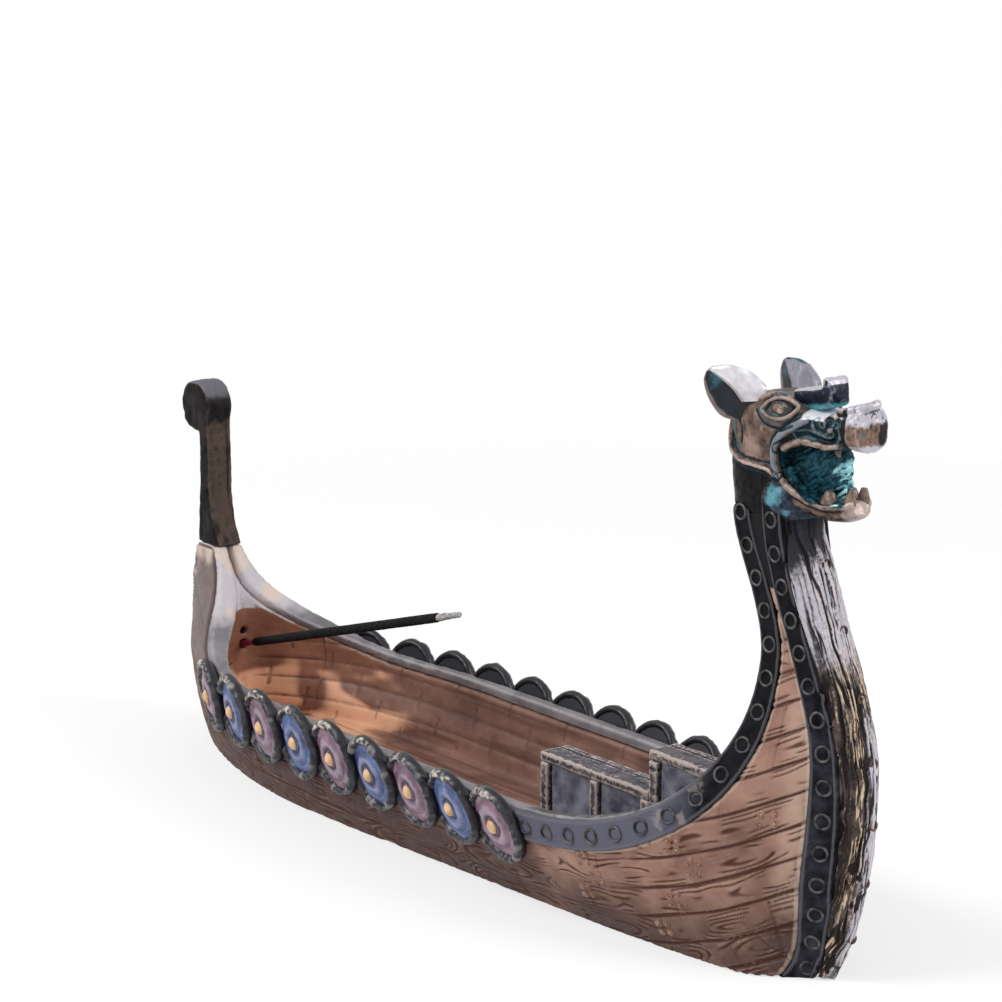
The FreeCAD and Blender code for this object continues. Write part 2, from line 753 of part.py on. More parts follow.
def make_stick():
    core = keep(doc.addObject("PartDesign::Body", "stick_core"), "stick_core")
    primitive(core, "AdditiveCylinder", "bamboo", Radius="Sizes.core_radius",
              lift="Sizes.joint_gap - Sizes.hole_depth",
              Height="Sizes.hole_depth - Sizes.joint_gap + Sizes.bare_length + Sizes.coat_length")
    coat = keep(doc.addObject("PartDesign::Body", "incense_coat"), "incense_coat")
    primitive(coat, "AdditiveCone", "taper", Radius1="Sizes.core_radius + Sizes.joint_gap",
              Radius2="Sizes.coat_radius", Height="Sizes.coat_taper", lift="Sizes.bare_length")
    primitive(coat, "AdditiveCylinder", "paste", Radius="Sizes.coat_radius",
              Height="Sizes.coat_length - Sizes.coat_taper", lift="Sizes.bare_length + Sizes.coat_taper")
    primitive(coat, "SubtractiveCylinder", "lining", Radius="Sizes.core_radius + Sizes.seat_gap / 2",
              Height="2 * Sizes.bare_length + Sizes.coat_length")
    ash = keep(doc.addObject("PartDesign::Body", "ash_tip"), "ash_tip")
    primitive(ash, "AdditiveCone", "ash", Radius1="Sizes.ash_radius",
              Radius2="Sizes.ash_radius - Sizes.joint_gap", Height="Sizes.ash_length",
              lift="Sizes.bare_length + Sizes.coat_length + Sizes.seat_gap")
    for body in (core, coat, ash):
        body.Placement = stick_place()


# Dragon head

head_back = s["neck_back"] - s["nape_overhang"]


def head_point(along, across, up):
    return Vector(head_back + along * s["head_length"], across * s["head_width"] / 2,
                  s["neck_height"] + up * s["head_height"])


def head_form(sections):
    """A smooth form through upright oval sections of the head."""
    wires = []
    for along, wide, low, high in sections:
        middle, tall = (low + high) / 2, (high - low) / 2
        turns = [2 * math.pi * i / LOOP_POINTS for i in range(LOOP_POINTS)]
        oval = [head_point(along, wide * math.sin(a), middle - tall * math.cos(a)) for a in turns]
        wires.append(loop_wire(oval))
    return Part.makeLoft(wires, True, False)


def between(sections, along):
    """The oval of a form at one share of the head's length."""
    for before, after in zip(sections, sections[1:]):
        if before[0] <= along <= after[0]:
            share = (along - before[0]) / (after[0] - before[0])
            return [a + share * (b - a) for a, b in zip(before, after)]
    return list(sections[-1])


def ear_shape(side):
    root = head_point(EAR_ROOT[0], side * EAR_ROOT[1], EAR_ROOT[2])
    way = Vector(EAR_WAY[0], side * EAR_WAY[1], EAR_WAY[2]).normalize()
    flat = way.cross(Vector(0, 0, 1)).normalize()
    tall = flat.cross(way)
    wires = []
    for share, wide in EAR_SECTIONS:
        half = wide * s["ear_width"]
        centre = root + way * (share * s["ear_length"])
        turns = [2 * math.pi * i / LOOP_POINTS for i in range(LOOP_POINTS)]
        thin = EAR_FLATNESS * half
        oval = [centre + tall * half * math.cos(a) + flat * thin * math.sin(a) for a in turns]
        wires.append(loop_wire(oval))
    return Part.makeLoft(wires, True, False)


def make_head():
    above = slab(0, REACH, s["neck_height"] + gap, REACH)
    skull = head_form(SKULL).common(above)
    jaw = head_form(JAW).common(above).cut(skull)
    freeform("dragon_skull", skull)
    freeform("dragon_jaw", jaw)
    for name, side in SIDES.items():
        freeform(name + "_ear", ear_shape(side).cut(skull))
    crest = [head_point(along, 0, up) for along, up in CREST]
    half = s["crest_width"] / 2
    plate = Part.Face(Part.Wire([spline_edge(crest), Part.makeLine(crest[-1], crest[0])]))
    plate.translate(Vector(0, -half, 0))
    freeform("dragon_crest", plate.extrude(Vector(0, 2 * half, 0)).cut(skull))
    along, up = EYE
    oval = between(SKULL, along)
    middle, tall = (oval[2] + oval[3]) / 2, (oval[3] - oval[2]) / 2
    across = oval[1] * math.sqrt(1 - ((up - middle) / tall) ** 2)
    eyes = [Part.makeSphere(s["eye_radius"], head_point(along, side * across, up)).cut(skull)
            for side in SIDES.values()]
    solid_group("dragon_eyes", eyes)
    teeth = []
    for along in TEETH:
        oval = between(JAW, along)
        for side in SIDES.values():
            root = head_point(along, side * TOOTH_ROW * oval[1], (oval[2] + oval[3]) / 2)
            rise = (oval[3] - oval[2]) / 2 * s["head_height"]
            tip = TOOTH_TIP * s["tooth_radius"]
            tooth = Part.makeCone(s["tooth_radius"], tip, rise + s["tooth_height"], root)
            teeth.append(tooth.cut(jaw))
    solid_group("dragon_teeth", teeth)


halfway = (sheer.FirstParameter + sheer.LastParameter) / 2
waist = find(sheer, "z", s["waist_height"], sheer.FirstParameter, halfway)
band_end = find(sheer, "x", s["band_start"] - ROOM, waist, sheer.LastParameter)
make_hull()
make_rails()
make_bands()
make_rings()
make_stem()
make_stern_post()
make_shields()
make_bench()
make_stick()
make_head()
doc.recompute()

failed = [item.Name for item in doc.Objects if {"Invalid", "Error"} & set(item.State)]
for node in nodes:
    if node.Shape.isNull() or not node.Shape.isValid():
        failed.append(node.Label)
if failed:
    raise RuntimeError("not built: " + ", ".join(failed))

os.makedirs("parts", exist_ok=True)
for node in nodes:
    node.Shape.exportStep(f"parts/{node.Label}.step")
    print(node.Label, len(node.Shape.Solids), round(node.Shape.Volume, 1))
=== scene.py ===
import math
import bmesh
import bpy
import numpy as np
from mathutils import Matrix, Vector
from mathutils.bvhtree import BVHTree


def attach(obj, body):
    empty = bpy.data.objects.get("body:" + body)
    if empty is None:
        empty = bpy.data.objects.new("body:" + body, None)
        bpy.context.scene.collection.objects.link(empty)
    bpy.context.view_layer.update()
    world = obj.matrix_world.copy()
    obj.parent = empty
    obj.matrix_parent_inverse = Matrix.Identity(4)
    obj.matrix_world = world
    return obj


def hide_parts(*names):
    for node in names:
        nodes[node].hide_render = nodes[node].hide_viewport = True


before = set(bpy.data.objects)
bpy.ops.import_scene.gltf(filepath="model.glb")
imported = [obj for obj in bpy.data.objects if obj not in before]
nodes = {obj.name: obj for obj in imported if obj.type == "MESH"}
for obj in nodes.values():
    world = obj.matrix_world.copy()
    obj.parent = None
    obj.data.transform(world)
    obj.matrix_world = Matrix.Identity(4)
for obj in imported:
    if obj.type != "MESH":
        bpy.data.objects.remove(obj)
scene = bpy.context.scene
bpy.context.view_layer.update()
mm = 0.001
sides = {"starboard": -1, "port": 1}


# Noise and curves, all in millimetres

def lattice(ix, iy, iz, seed):
    n = (ix * 374761393 + iy * 668265263 + iz * 1442695041 + seed * 1274126177) & 0xffffffff
    n = ((n ^ (n >> 13)) * 1274126177) & 0xffffffff
    return ((n ^ (n >> 16)) & 0xffff) / 32767.5 - 1


def grain(points, size, seed=0):  # value noise from -1 to 1
    p = np.asarray(points, float) / size
    low = np.floor(p).astype(np.int64)
    f = p - low
    f = f * f * (3 - 2 * f)
    total = 0
    for corner in np.ndindex(2, 2, 2):
        weight = np.prod([f[..., a] if c else 1 - f[..., a] for a, c in enumerate(corner)], axis=0)
        total = total + weight * lattice(*(low[..., a] + c for a, c in enumerate(corner)), seed)
    return total


def layered(points, size, octaves=3, seed=0):
    return sum(grain(points, size / 2 ** k, seed + k) / 2 ** k for k in range(octaves))


def at(*axes):  # stacks coordinates of any shapes into points
    return np.stack(np.broadcast_arrays(*[np.asarray(a, float) for a in axes]), -1)


def ease(low, high, value):
    share = np.clip((np.asarray(value, float) - low) / (high - low), 0, 1)
    return share * share * (3 - 2 * share)


def bell(distance, width):
    return np.exp(-(np.asarray(distance) / width) ** 2)


def unit(vectors):
    return vectors / np.maximum(np.linalg.norm(vectors, axis=-1, keepdims=True), 1e-9)


def evenly(points, count, weight=None):  # resamples a chain of points by its length
    points = np.asarray(points, float)
    gaps = np.linalg.norm(np.diff(points, axis=0), axis=1)
    if weight is not None:
        gaps = gaps * weight((points[1:] + points[:-1]) / 2)
    run = np.concatenate([[0], np.cumsum(gaps)])
    places = np.linspace(0, run[-1], count)
    return np.stack([np.interp(places, run, points[:, a]) for a in range(points.shape[1])], -1)


def rounded(points, count, steps=12):  # a smooth chain through a few points
    p = np.asarray(points, float)
    p = np.concatenate([[2 * p[0] - p[1]], p, [2 * p[-1] - p[-2]]])
    chain = []
    for a, b, c, d in zip(p, p[1:], p[2:], p[3:]):
        t = np.linspace(0, 1, steps, endpoint=False)[:, None]
        bend = a - 2.5 * b + 2 * c - d / 2
        twist = 1.5 * (b - c) + (d - a) / 2
        chain.append(b + t * (c - a) / 2 + t ** 2 * bend + t ** 3 * twist)
    return evenly(np.concatenate(chain + [p[-2:-1]]), count)


# Meshes

def addMarks(mesh, marks):  # attributes that the finishes read
    for key, values in (marks or {}).items():
        layer = mesh.attributes.new(key, "FLOAT", "POINT")
        layer.data.foreach_set("value", np.asarray(values, np.float32).ravel())


def meshPiece(name, points, faces, marks=None, smooth=None):
    mesh = bpy.data.meshes.new(name)
    mesh.from_pydata((np.asarray(points).reshape(-1, 3) * mm).tolist(), [], faces)
    addMarks(mesh, marks)
    work = bmesh.new()
    work.from_mesh(mesh)
    bmesh.ops.recalc_face_normals(work, faces=work.faces)
    work.to_mesh(mesh)
    work.free()
    mesh.polygons.foreach_set("use_smooth", np.arange(len(mesh.polygons)) < (smooth or len(mesh.polygons)))
    piece = bpy.data.objects.new(name, mesh)
    scene.collection.objects.link(piece)
    return piece


def closedSkin(name, outer, inner, marks=None, step=1):  # a fine front, a coarse back and walls between
    rows, cols = outer.shape[:2]
    front = np.arange(rows * cols).reshape(rows, cols)
    keep = np.zeros((rows, cols), bool)
    keep[::step, ::step] = True
    keep[[0, -1]] = True
    keep[:, [0, -1]] = True
    rear = np.full((rows, cols), -1)
    rear[keep] = rows * cols + np.arange(keep.sum())
    corners = [front[:-1, :-1], front[:-1, 1:], front[1:, 1:], front[1:, :-1]]
    faces = np.stack(corners, -1).reshape(-1, 4).tolist()
    for i in range(0, rows - 1, step):
        for j in range(0, cols - 1, step):
            ring = [(i, c) for c in range(j, j + step)] + [(r, j + step) for r in range(i, i + step)]
            ring += [(i + step, c) for c in range(j + step, j, -1)] + [(r, j) for r in range(i + step, i, -1)]
            faces.append([int(rear[place]) for place in reversed(ring) if keep[place]])
    rim = [(0, c) for c in range(cols - 1)] + [(r, cols - 1) for r in range(rows - 1)]
    rim += [(rows - 1, c) for c in range(cols - 1, 0, -1)] + [(r, 0) for r in range(rows - 1, 0, -1)]
    for a, b in zip(rim, rim[1:] + rim[:1]):
        faces.append([int(front[b]), int(front[a]), int(rear[a]), int(rear[b])])
    both = {key: np.concatenate([np.ravel(v), np.asarray(v)[keep]]) for key, v in (marks or {}).items()}
    points = np.concatenate([outer.reshape(-1, 3), inner[keep]])
    return meshPiece(name, points, faces, both, (rows - 1) * (cols - 1))


def tubeFaces(rows, cols, looped, start=0):
    index = np.arange(rows * cols).reshape(rows, cols) + start
    turn = np.roll(index, -1, axis=1)
    if looped:
        faces = np.stack([index, turn, np.roll(turn, -1, axis=0), np.roll(index, -1, axis=0)], -1)
        return faces.reshape(-1, 4).tolist()
    faces = np.stack([index[:-1], turn[:-1], turn[1:], index[1:]], -1).reshape(-1, 4).tolist()
    return faces + [index[0, ::-1].tolist(), index[-1].tolist()]


def normalsOf(mesh):
    normals = np.zeros(len(mesh.vertices) * 3, np.float32)
    mesh.vertex_normals.foreach_get("vector", normals)
    return normals.reshape(-1, 3).astype(float)


def pointsOf(mesh):
    points = np.zeros(len(mesh.vertices) * 3, np.float32)
    mesh.vertices.foreach_get("co", points)
    return points.reshape(-1, 3).astype(float) / mm


def relaxed(points, links, passes):
    count = np.maximum(np.bincount(links.ravel(), minlength=len(points)), 1)[:, None]
    for turn in range(passes):
        total = np.zeros_like(points)
        for axis in range(3):
            total[:, axis] = np.bincount(links[:, 0], points[links[:, 1], axis], len(points))
            total[:, axis] += np.bincount(links[:, 1], points[links[:, 0], axis], len(points))
        points = total / count
    return points


# An even skin over a rough form: voxel in mm, passes that relax it, then roughness, its size, and how far
# the wear mark looks around it. The shape function adds relief and marks of its own.
def remeshed(name, source, voxel, passes, rough, size, reach, shape=None):
    piece = bpy.data.objects.new(name, source)
    scene.collection.objects.link(piece)
    grid = piece.modifiers.new("grid", "REMESH")
    grid.mode = "VOXEL"
    grid.voxel_size = voxel * mm
    evaluated = piece.evaluated_get(bpy.context.evaluated_depsgraph_get())
    mesh = bpy.data.meshes.new_from_object(evaluated)
    piece.modifiers.clear()
    piece.data = mesh
    mesh.name = name
    links = np.zeros(len(mesh.edges) * 2, np.int32)
    mesh.edges.foreach_get("vertices", links)
    links = links.reshape(-1, 2)
    points = relaxed(pointsOf(mesh), links, passes)
    mesh.vertices.foreach_set("co", (points * mm).ravel())
    mesh.update()
    normals = normalsOf(mesh)
    marks = {}
    if shape:
        relief, marks = shape(points, normals)
        points = points + normals * relief[:, None]
    points = points + normals * (rough * layered(points, size, 3, 5))[:, None]
    mesh.vertices.foreach_set("co", (points * mm).ravel())
    mesh.update()
    marks["wear"] = ((points - relaxed(points, links, reach)) * normals).sum(1) / voxel
    addMarks(mesh, marks)
    mesh.polygons.foreach_set("use_smooth", np.ones(len(mesh.polygons), bool))
    return piece


def nodeMesh(*names):  # a merged copy of CAD nodes
    work = bmesh.new()
    for name in names:
        work.from_mesh(nodes[name].data)
    bmesh.ops.remove_doubles(work, verts=work.verts, dist=1e-6)
    mesh = bpy.data.meshes.new(names[0] + "_copy")
    work.to_mesh(mesh)
    work.free()
    return mesh


def treeOf(*names):
    mesh = nodeMesh(*names)
    points = [v.co for v in mesh.vertices]
    return BVHTree.FromPolygons(points, [p.vertices for p in mesh.polygons])


castReach = 60.0  # rays start this far out, well outside the hull


def castOn(tree, origins, directions, nearest=True):  # points where rays meet a surface
    hits = []
    for origin, direction in zip(origins.reshape(-1, 3) * mm, directions.reshape(-1, 3)):
        hit = tree.ray_cast(Vector(origin), Vector(direction))[0]
        if hit is None:
            beyond = Vector(origin + direction * castReach * mm)
            hit = tree.find_nearest(beyond)[0] if nearest else (math.nan,) * 3
        hits.append(hit)
    return np.array(hits).reshape(origins.shape) / mm


def blurred(grid, passes):  # evens out the facets of a cast grid
    for turn in range(passes):
        inner = (grid[:-2, 1:-1] + grid[2:, 1:-1] + grid[1:-1, :-2] + grid[1:-1, 2:]) / 4
        grid = grid.copy()
        grid[1:-1, 1:-1] = inner
    return grid


def gridNormals(grid, facing):
    normal = unit(np.cross(np.gradient(grid, axis=0), np.gradient(grid, axis=1)))
    flip = np.where((normal * facing).sum(-1, keepdims=True) < 0, -1, 1)
    return normal * flip


def place(piece, body, slot, material, *replaced):
    piece.data.materials.clear()
    piece.data.materials.append(material)
    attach(piece, body)
    if replaced:
        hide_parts(*replaced)
    return piece


# Finishes: mottled base colours, then washes, dry-brushed layers and layers of painted light and shade

def tint(r, g, b):
    return [((c / 255 + 0.055) / 1.055) ** 2.4 if c > 10 else c / 255 / 12.92 for c in (r, g, b)] + [1]


def wire(tree, kind, inputs=None, **settings):
    node = tree.nodes.new(kind)
    for key, value in settings.items():
        setattr(node, key, value)
    for key, value in (inputs or {}).items():
        if isinstance(value, bpy.types.NodeSocket):
            tree.links.new(value, node.inputs[key])
        else:
            node.inputs[key].default_value = value
    return node


def mottle(tree, where, size, detail=4.0):
    noise = wire(tree, "ShaderNodeTexNoise", {"Vector": where, "Scale": 1000 / size, "Detail": detail})
    return noise.outputs["Fac"]


# A layer lies over what is under it, where its mark passes from low to high. Its edge is broken by noise
# of a size in mm: the more uneven, the more torn.
def layerOver(tree, where, under, mark, low, high, colour, size=0.8, uneven=0.0, amount=1.0):
    worn = wire(tree, "ShaderNodeAttribute", attribute_name=mark).outputs["Fac"]
    broken = mottle(tree, where, size, 3.0)
    torn = wire(tree, "ShaderNodeMath", {0: broken, 1: uneven, 2: worn}, operation="MULTIPLY_ADD")
    mask = wire(tree, "ShaderNodeMapRange", {
        "Value": torn.outputs[0], "From Min": low + uneven / 2, "From Max": high + uneven / 2,
        "To Min": 0.0, "To Max": amount}, interpolation_type="SMOOTHSTEP")
    coats = {"Factor": mask.outputs[0], 6: under, 7: tint(*colour)}  # 6 and 7 are the two colours
    return wire(tree, "ShaderNodeMix", coats, data_type="RGBA").outputs[2]


# Each of the layers gives its mark, low, high, colour, size, uneven and amount, in that order.
def finish(name, base, size, layers=(), rough=(0.55, 0.75), metal=0.0, bump=(0.06, 0.5), shine=0.3):
    material = bpy.data.materials.new(name)
    material.use_nodes = True
    tree = material.node_tree
    shader = tree.nodes["Principled BSDF"]
    where = wire(tree, "ShaderNodeTexCoord").outputs["Object"]
    broad = mottle(tree, where, size)
    ramp = wire(tree, "ShaderNodeValToRGB", {"Fac": broad})
    for k, colour in enumerate(base):
        stop = ramp.color_ramp.elements[k] if k < 2 else ramp.color_ramp.elements.new(0.5)
        stop.position = 0.34 + 0.32 * k / (len(base) - 1)
        stop.color = tint(*colour)
    colour = ramp.outputs["Color"]
    for layer in layers:
        colour = layerOver(tree, where, colour, *layer)
    tree.links.new(colour, shader.inputs["Base Color"])
    gloss = wire(tree, "ShaderNodeMapRange", {
        "Value": mottle(tree, where, 1.1), "To Min": rough[0], "To Max": rough[1]})
    tree.links.new(gloss.outputs[0], shader.inputs["Roughness"])
    shader.inputs["Metallic"].default_value = metal
    shader.inputs["Specular IOR Level"].default_value = shine
    skin = wire(tree, "ShaderNodeBump", {
        "Height": mottle(tree, where, bump[1], 5.0), "Strength": 0.6, "Distance": bump[0] * mm})
    tree.links.new(skin.outputs["Normal"], shader.inputs["Normal"])
    return material


# Lines of the ship's side view, x forward and z up

hullLines = {
    "railHeight": 21.7, "railThickness": 2.2, "bowRise": 30, "waistBack": 88.5, "waistHeight": 57,
    "neckBack": 79, "neckHeight": 86, "bowSweep": 2.6, "sternRise": 60, "postFront": 101, "sweepHeight": 58,
    "stemFoot": 102.3, "stemBelly": 111.4, "bellyHeight": 38, "neckFront": 96.3, "stemCurve": 0.8,
    "stemDepth": 4.6, "footDepth": 3.1, "blockTop": 43, "bandStart": 44.5, "leastHalf": 2.0,
}


def stemFront(z):
    s = hullLines
    low = np.clip(z / s["bellyHeight"], 0, 1)
    high = np.clip((z - s["bellyHeight"]) / (s["neckHeight"] - s["bellyHeight"]), 0, 1)
    below = s["stemFoot"] + (s["stemBelly"] - s["stemFoot"]) * np.sin(low * math.pi / 2) ** s["stemCurve"]
    above = s["stemBelly"] - (s["stemBelly"] - s["neckFront"]) * ease(0, 1, high)
    return np.where(z <= s["bellyHeight"], below, above)


def stemBack(z):
    s = hullLines
    return stemFront(z) - s["footDepth"] - (s["stemDepth"] - s["footDepth"]) * ease(0, s["bellyHeight"], z)


def sheerLine():  # from the neck's top down and aft to the stern post
    s = hullLines
    z = np.linspace(s["neckHeight"], s["waistHeight"], 40)
    lean = ease(s["waistHeight"], s["neckHeight"], z)
    neck = at(s["waistBack"] - (s["waistBack"] - s["neckBack"]) * lean, z)
    turn = np.linspace(math.pi / 2, 0, 80)[1:]
    run = np.sin(turn) ** (2 / s["bowSweep"])
    rise = 1 - np.cos(turn) ** (2 / s["bowSweep"])
    bow = at(s["bowRise"] + (s["waistBack"] - s["bowRise"]) * run,
             s["railHeight"] + (s["waistHeight"] - s["railHeight"]) * rise)
    level = at(np.linspace(s["bowRise"], -s["sternRise"], 60)[1:], s["railHeight"])
    turn = np.linspace(0, math.pi / 2, 50)[1:]
    stern = at(-s["sternRise"] - (s["postFront"] - s["sternRise"]) * np.sin(turn),
               s["railHeight"] + (s["sweepHeight"] - s["railHeight"]) * (1 - np.cos(turn)))
    return evenly(np.concatenate([neck, bow, level, stern]), 900)


def inward(line):  # unit vectors from the sheer into the hull
    along = unit(np.gradient(line, axis=0))
    return at(-along[:, 1], along[:, 0])


sheer = sheerLine()
underRail = sheer + inward(sheer) * (hullLines["railThickness"] - 0.1)
hullTree = treeOf("hull_shell", "stern_block", "starboard_rail", "port_rail")
coreTree = treeOf("hull_shell", "stern_block")


def onHull(x, z, side):  # points on the hull's outer side, rails included
    origins = at(x, side * castReach, z)
    return castOn(hullTree, origins, np.broadcast_to([0.0, -side, 0.0], origins.shape))


def sideWidths(tree, x, z, side):  # a ray that misses takes the width of the row beside it
    origins = at(x, side * castReach, z)
    aims = np.broadcast_to([0.0, -side, 0.0], origins.shape)
    y = castOn(tree, origins, aims, False)[..., 1]
    y[~(side * y > hullLines["leastHalf"])] = math.nan
    rows = list(range(y.shape[1]))
    for here, before in list(zip(rows[1:], rows)) + list(zip(rows[-2::-1], rows[:0:-1])):
        y[:, here] = np.where(np.isnan(y[:, here]), y[:, before], y[:, here])
    lost = np.isnan(y)
    if lost.any():
        y[lost] = castOn(tree, origins[lost], aims[lost])[:, 1]
    return y


print("lines ready")


# Planked sides, with carved seams, butts and grain

planks = {
    "lift": 0.38, "inset": 0.4, "pitch": 5.9, "seamLevel": 10.4, "foot": 0.25, "crown": 0.14,
    "bowLift": 14.2, "bowFrom": 45, "bowRun": 56, "sternLift": 8.0, "sternFrom": 40, "sternRun": 60,
    "seamWidth": 0.3, "seamDepth": 0.36, "grainDepth": 0.24, "fineDepth": 0.07,
    "buttPitch": 22.0, "butts": (74.1, 78.9, 84.1, 80.0, 88.0, 96.0),
    "neckFrom": 70.0, "neckLift": 0.45, "split": 20.0, "bowGrid": (544, 152), "sternGrid": (320, 96),
}


def plankPlace(x, z):  # which plank, and how far across it
    s = planks
    toBow = np.clip((x - s["bowFrom"]) / s["bowRun"], 0, None)
    toStern = np.clip((-x - s["sternFrom"]) / s["sternRun"], 0, None)
    rise = s["bowLift"] * toBow ** 2.2 + s["sternLift"] * toStern ** 2
    across = (z - rise - s["seamLevel"]) / s["pitch"] + 2 + 0.05 * grain(at(x, 0, z), 9, 3)
    return np.floor(across), across - np.floor(across)


def plankRelief(x, z):
    s = planks
    k, q = plankPlace(x, z)
    seam = bell(np.minimum(q, 1 - q) * s["pitch"], s["seamWidth"])
    start = np.take(s["butts"], k.astype(int) % len(s["butts"]))
    toButt = (x - start + s["buttPitch"] / 2) % s["buttPitch"] - s["buttPitch"] / 2
    butt = bell(toButt, s["seamWidth"]) * 0.3
    centre = 0.5 + 0.2 * grain(at(k * 7.3, 0.5, x / 30), 1.0, 11)
    depth = 1.3 + 1.3 * grain(at(x / 8 + k * 5.7, k * 3.1, 0.3), 1.0, 12)
    ring = np.sqrt((4.3 * (q - centre)) ** 2 + depth ** 2) * 2.1 + 0.25 * grain(at(x / 3, k, q * 3), 1.0, 13)
    line = np.abs(ring % 1 - 0.5) * 2
    broken = ease(-0.3, 0.25, grain(at(x / 3.5, q * 3.5 + k * 4, 0.2), 1.0, 14))
    stroke = ease(0.4, 0.95, line) * broken * (1 - seam)
    fine = ease(0.25, 0.75, grain(at(x / 4, q * 6 + k * 9, k), 1.0, 15)) * 0.7
    seam = seam * ease(-0.9, 0.1, grain(at(x / 12, k * 3.7, 0.6), 1.0, 16) - 0.5 + 1.6 * ease(62, 90, x))
    crown = s["crown"] * (1 - (2 * q - 1) ** 2)
    height = crown - s["seamDepth"] * np.maximum(seam, butt)
    height = height - s["grainDepth"] * stroke - s["fineDepth"] * fine
    return height, np.clip(np.maximum(seam, butt) + 0.85 * stroke + 0.3 * fine, 0, 1)


plankPaint = finish("carved_plank_paint", [(130, 96, 83), (164, 130, 114)], 8, [
    # the tone layer darkens at random, and also paints shade on the lower and after parts of the sides
    ("tone", 0.1, 1.1, (64, 47, 45), 5.0, 0.4, 0.92),
    ("pale", 0.2, 1.0, (190, 162, 144), 3.0, 0.5, 0.5),
    ("wear", 0.1, 0.9, (182, 152, 132), 2.0, 0.5, 0.45),
    ("groove", 0.05, 0.9, (66, 35, 24), 2.0, 0.3, 0.92),
    ("trim", 0.3, 0.9, (184, 166, 152), 1.4, 0.7, 0.5),
    ("soot", 0.2, 0.9, (112, 101, 99), 3.0, 0.4, 0.85),
    ("cream", 0.3, 0.9, (196, 178, 166), 2.5, 0.7, 0.85),
    ("neck", 0.3, 0.7, (7, 7, 10), 0.8, 0.2),
], rough=(0.42, 0.7), shine=0.14)


bandSizes = {
    "thickness": 0.95, "lip": 0.12, "fromTop": 0.5, "sheerWidth": 5.7, "neckWidth": 4.4, "stemWidth": 4.9,
    "narrowFrom": 34, "narrowTo": 56, "columns": 20, "rowsSheer": 281, "rowsStem": 241,
}


def bandReach(z):  # from the sheer to the lower edge of the sheer band
    s = bandSizes
    narrowing = ease(s["narrowFrom"], s["narrowTo"], z)
    return s["fromTop"] + s["sheerWidth"] + (s["neckWidth"] - s["sheerWidth"]) * narrowing


def patchGrid(bottom, top, left, right):  # fills four edges in the side view
    u = np.linspace(0, 1, len(bottom))[:, None, None]
    v = np.linspace(0, 1, len(left))[None, :, None]
    flat = (1 - v) * bottom[:, None] + v * top[:, None] + (1 - u) * left[None] + u * right[None]
    corners = (1 - u) * ((1 - v) * bottom[0] + v * top[0]) + u * ((1 - v) * bottom[-1] + v * top[-1])
    return flat - corners


def sternEdges(side):  # bottom, top, left and right edges of the after half of a side
    s = planks
    columns, rows = s["sternGrid"]
    top = underRail[::-1]
    top = top[(top[:, 1] < hullLines["blockTop"] - 0.6) & (top[:, 0] < s["split"])]
    levels = np.linspace(s["foot"], hullLines["blockTop"] - 0.6, 40)
    origins = at(-130.0, side * 0.8, levels)
    back = castOn(hullTree, origins, np.broadcast_to([1.0, 0.0, 0.0], origins.shape))[:, 0] + 0.5
    left = evenly(at(back, levels), rows + 1)
    right = evenly([[s["split"], s["foot"]], [s["split"], top[-1, 1]]], rows + 1)
    top = np.concatenate([left[-1:], top, right[-1:]])
    return evenly([left[0], right[0]], columns + 1), evenly(top, columns + 1), left, right


def bowFan():  # lines from the sheer down to the foot and forward to the stem
    s = planks
    columns, rows = s["bowGrid"]
    top = underRail[::-1]
    start = top[np.abs(top[:, 0] - s["split"]).argmin(), 1]
    top = np.concatenate([[[s["split"], start]], top[top[:, 0] > s["split"]]])
    top = evenly(top, columns + 1, lambda p: 0.6 + 2.0 * ease(46, 76, p[:, 0]) * ease(66, 42, p[:, 1]))
    along = unit(np.gradient(top, axis=0))
    into = at(along[:, 1], -along[:, 0])
    reach = np.linspace(0, 60, 1200)
    walk = top[:, None] + into[:, None] * reach[None, :, None]
    stemLimit = stemBack(np.clip(walk[..., 1], 0, hullLines["neckHeight"])) + 0.3
    past = (walk[..., 1] < s["foot"]) | (walk[..., 0] > stemLimit)
    end = top + into * reach[past.argmax(axis=1)][:, None]
    v = np.linspace(0, 1, rows + 1)[None, :, None]
    return end[:, None] * (1 - v) + top[:, None] * v


plankTones = {  # where each comes in, from none to full
    "stern": (-62, -78), "aft": (56, -30), "foot": (18, 2), "bow": (64, 90), "underBand": (46, 56),
    "plainStern": (22, 28), "paleToStem": (12, 5), "paleUp": (6, 20), "paleDown": (62, 46),
    "sootUp": (18, 24), "creamAft": (-84, -94), "creamUp": (34, 44),
}


def plankMarks(surface, flat, height, groove, neck):
    t = plankTones
    x, z = flat[..., 0], flat[..., 1]
    stern = ease(*t["stern"], x)
    fromSheer = np.linalg.norm(flat[:, -1:] - flat, axis=-1) + hullLines["railThickness"]
    # tone is random mottling plus painted shade: darker towards the foot and the stern, a little lighter at
    # the bow
    tone = 0.38 + 0.45 * ease(*t["aft"], x) + 0.55 * ease(*t["foot"], z)
    tone = tone - 0.12 * ease(*t["bow"], x) + 0.3 * layered(surface, 14, 2, 22)
    underBand = bell(fromSheer - bandReach(z) - 0.4, 0.3) * ease(*t["underBand"], x)
    besideStem = bell(stemBack(z) - bandSizes["stemWidth"] + 0.2 - x, 0.4)
    ragged = z + 3 * layered(surface, 4, 2, 23)
    return {
        "groove": groove * (1 - neck) * (1 - 0.7 * stern * ease(*t["plainStern"], z)),
        "wear": (height - blurred(height, 14)) / 0.25,
        "tone": tone,
        "neck": neck,
        "pale": ease(*t["paleToStem"], stemBack(z) - x) * ease(*t["paleUp"], z) * ease(*t["paleDown"], z),
        "trim": underBand + besideStem,
        "soot": stern * ease(*t["sootUp"], z),
        "cream": ease(*t["creamAft"], x) * ease(*t["creamUp"], ragged),
    }


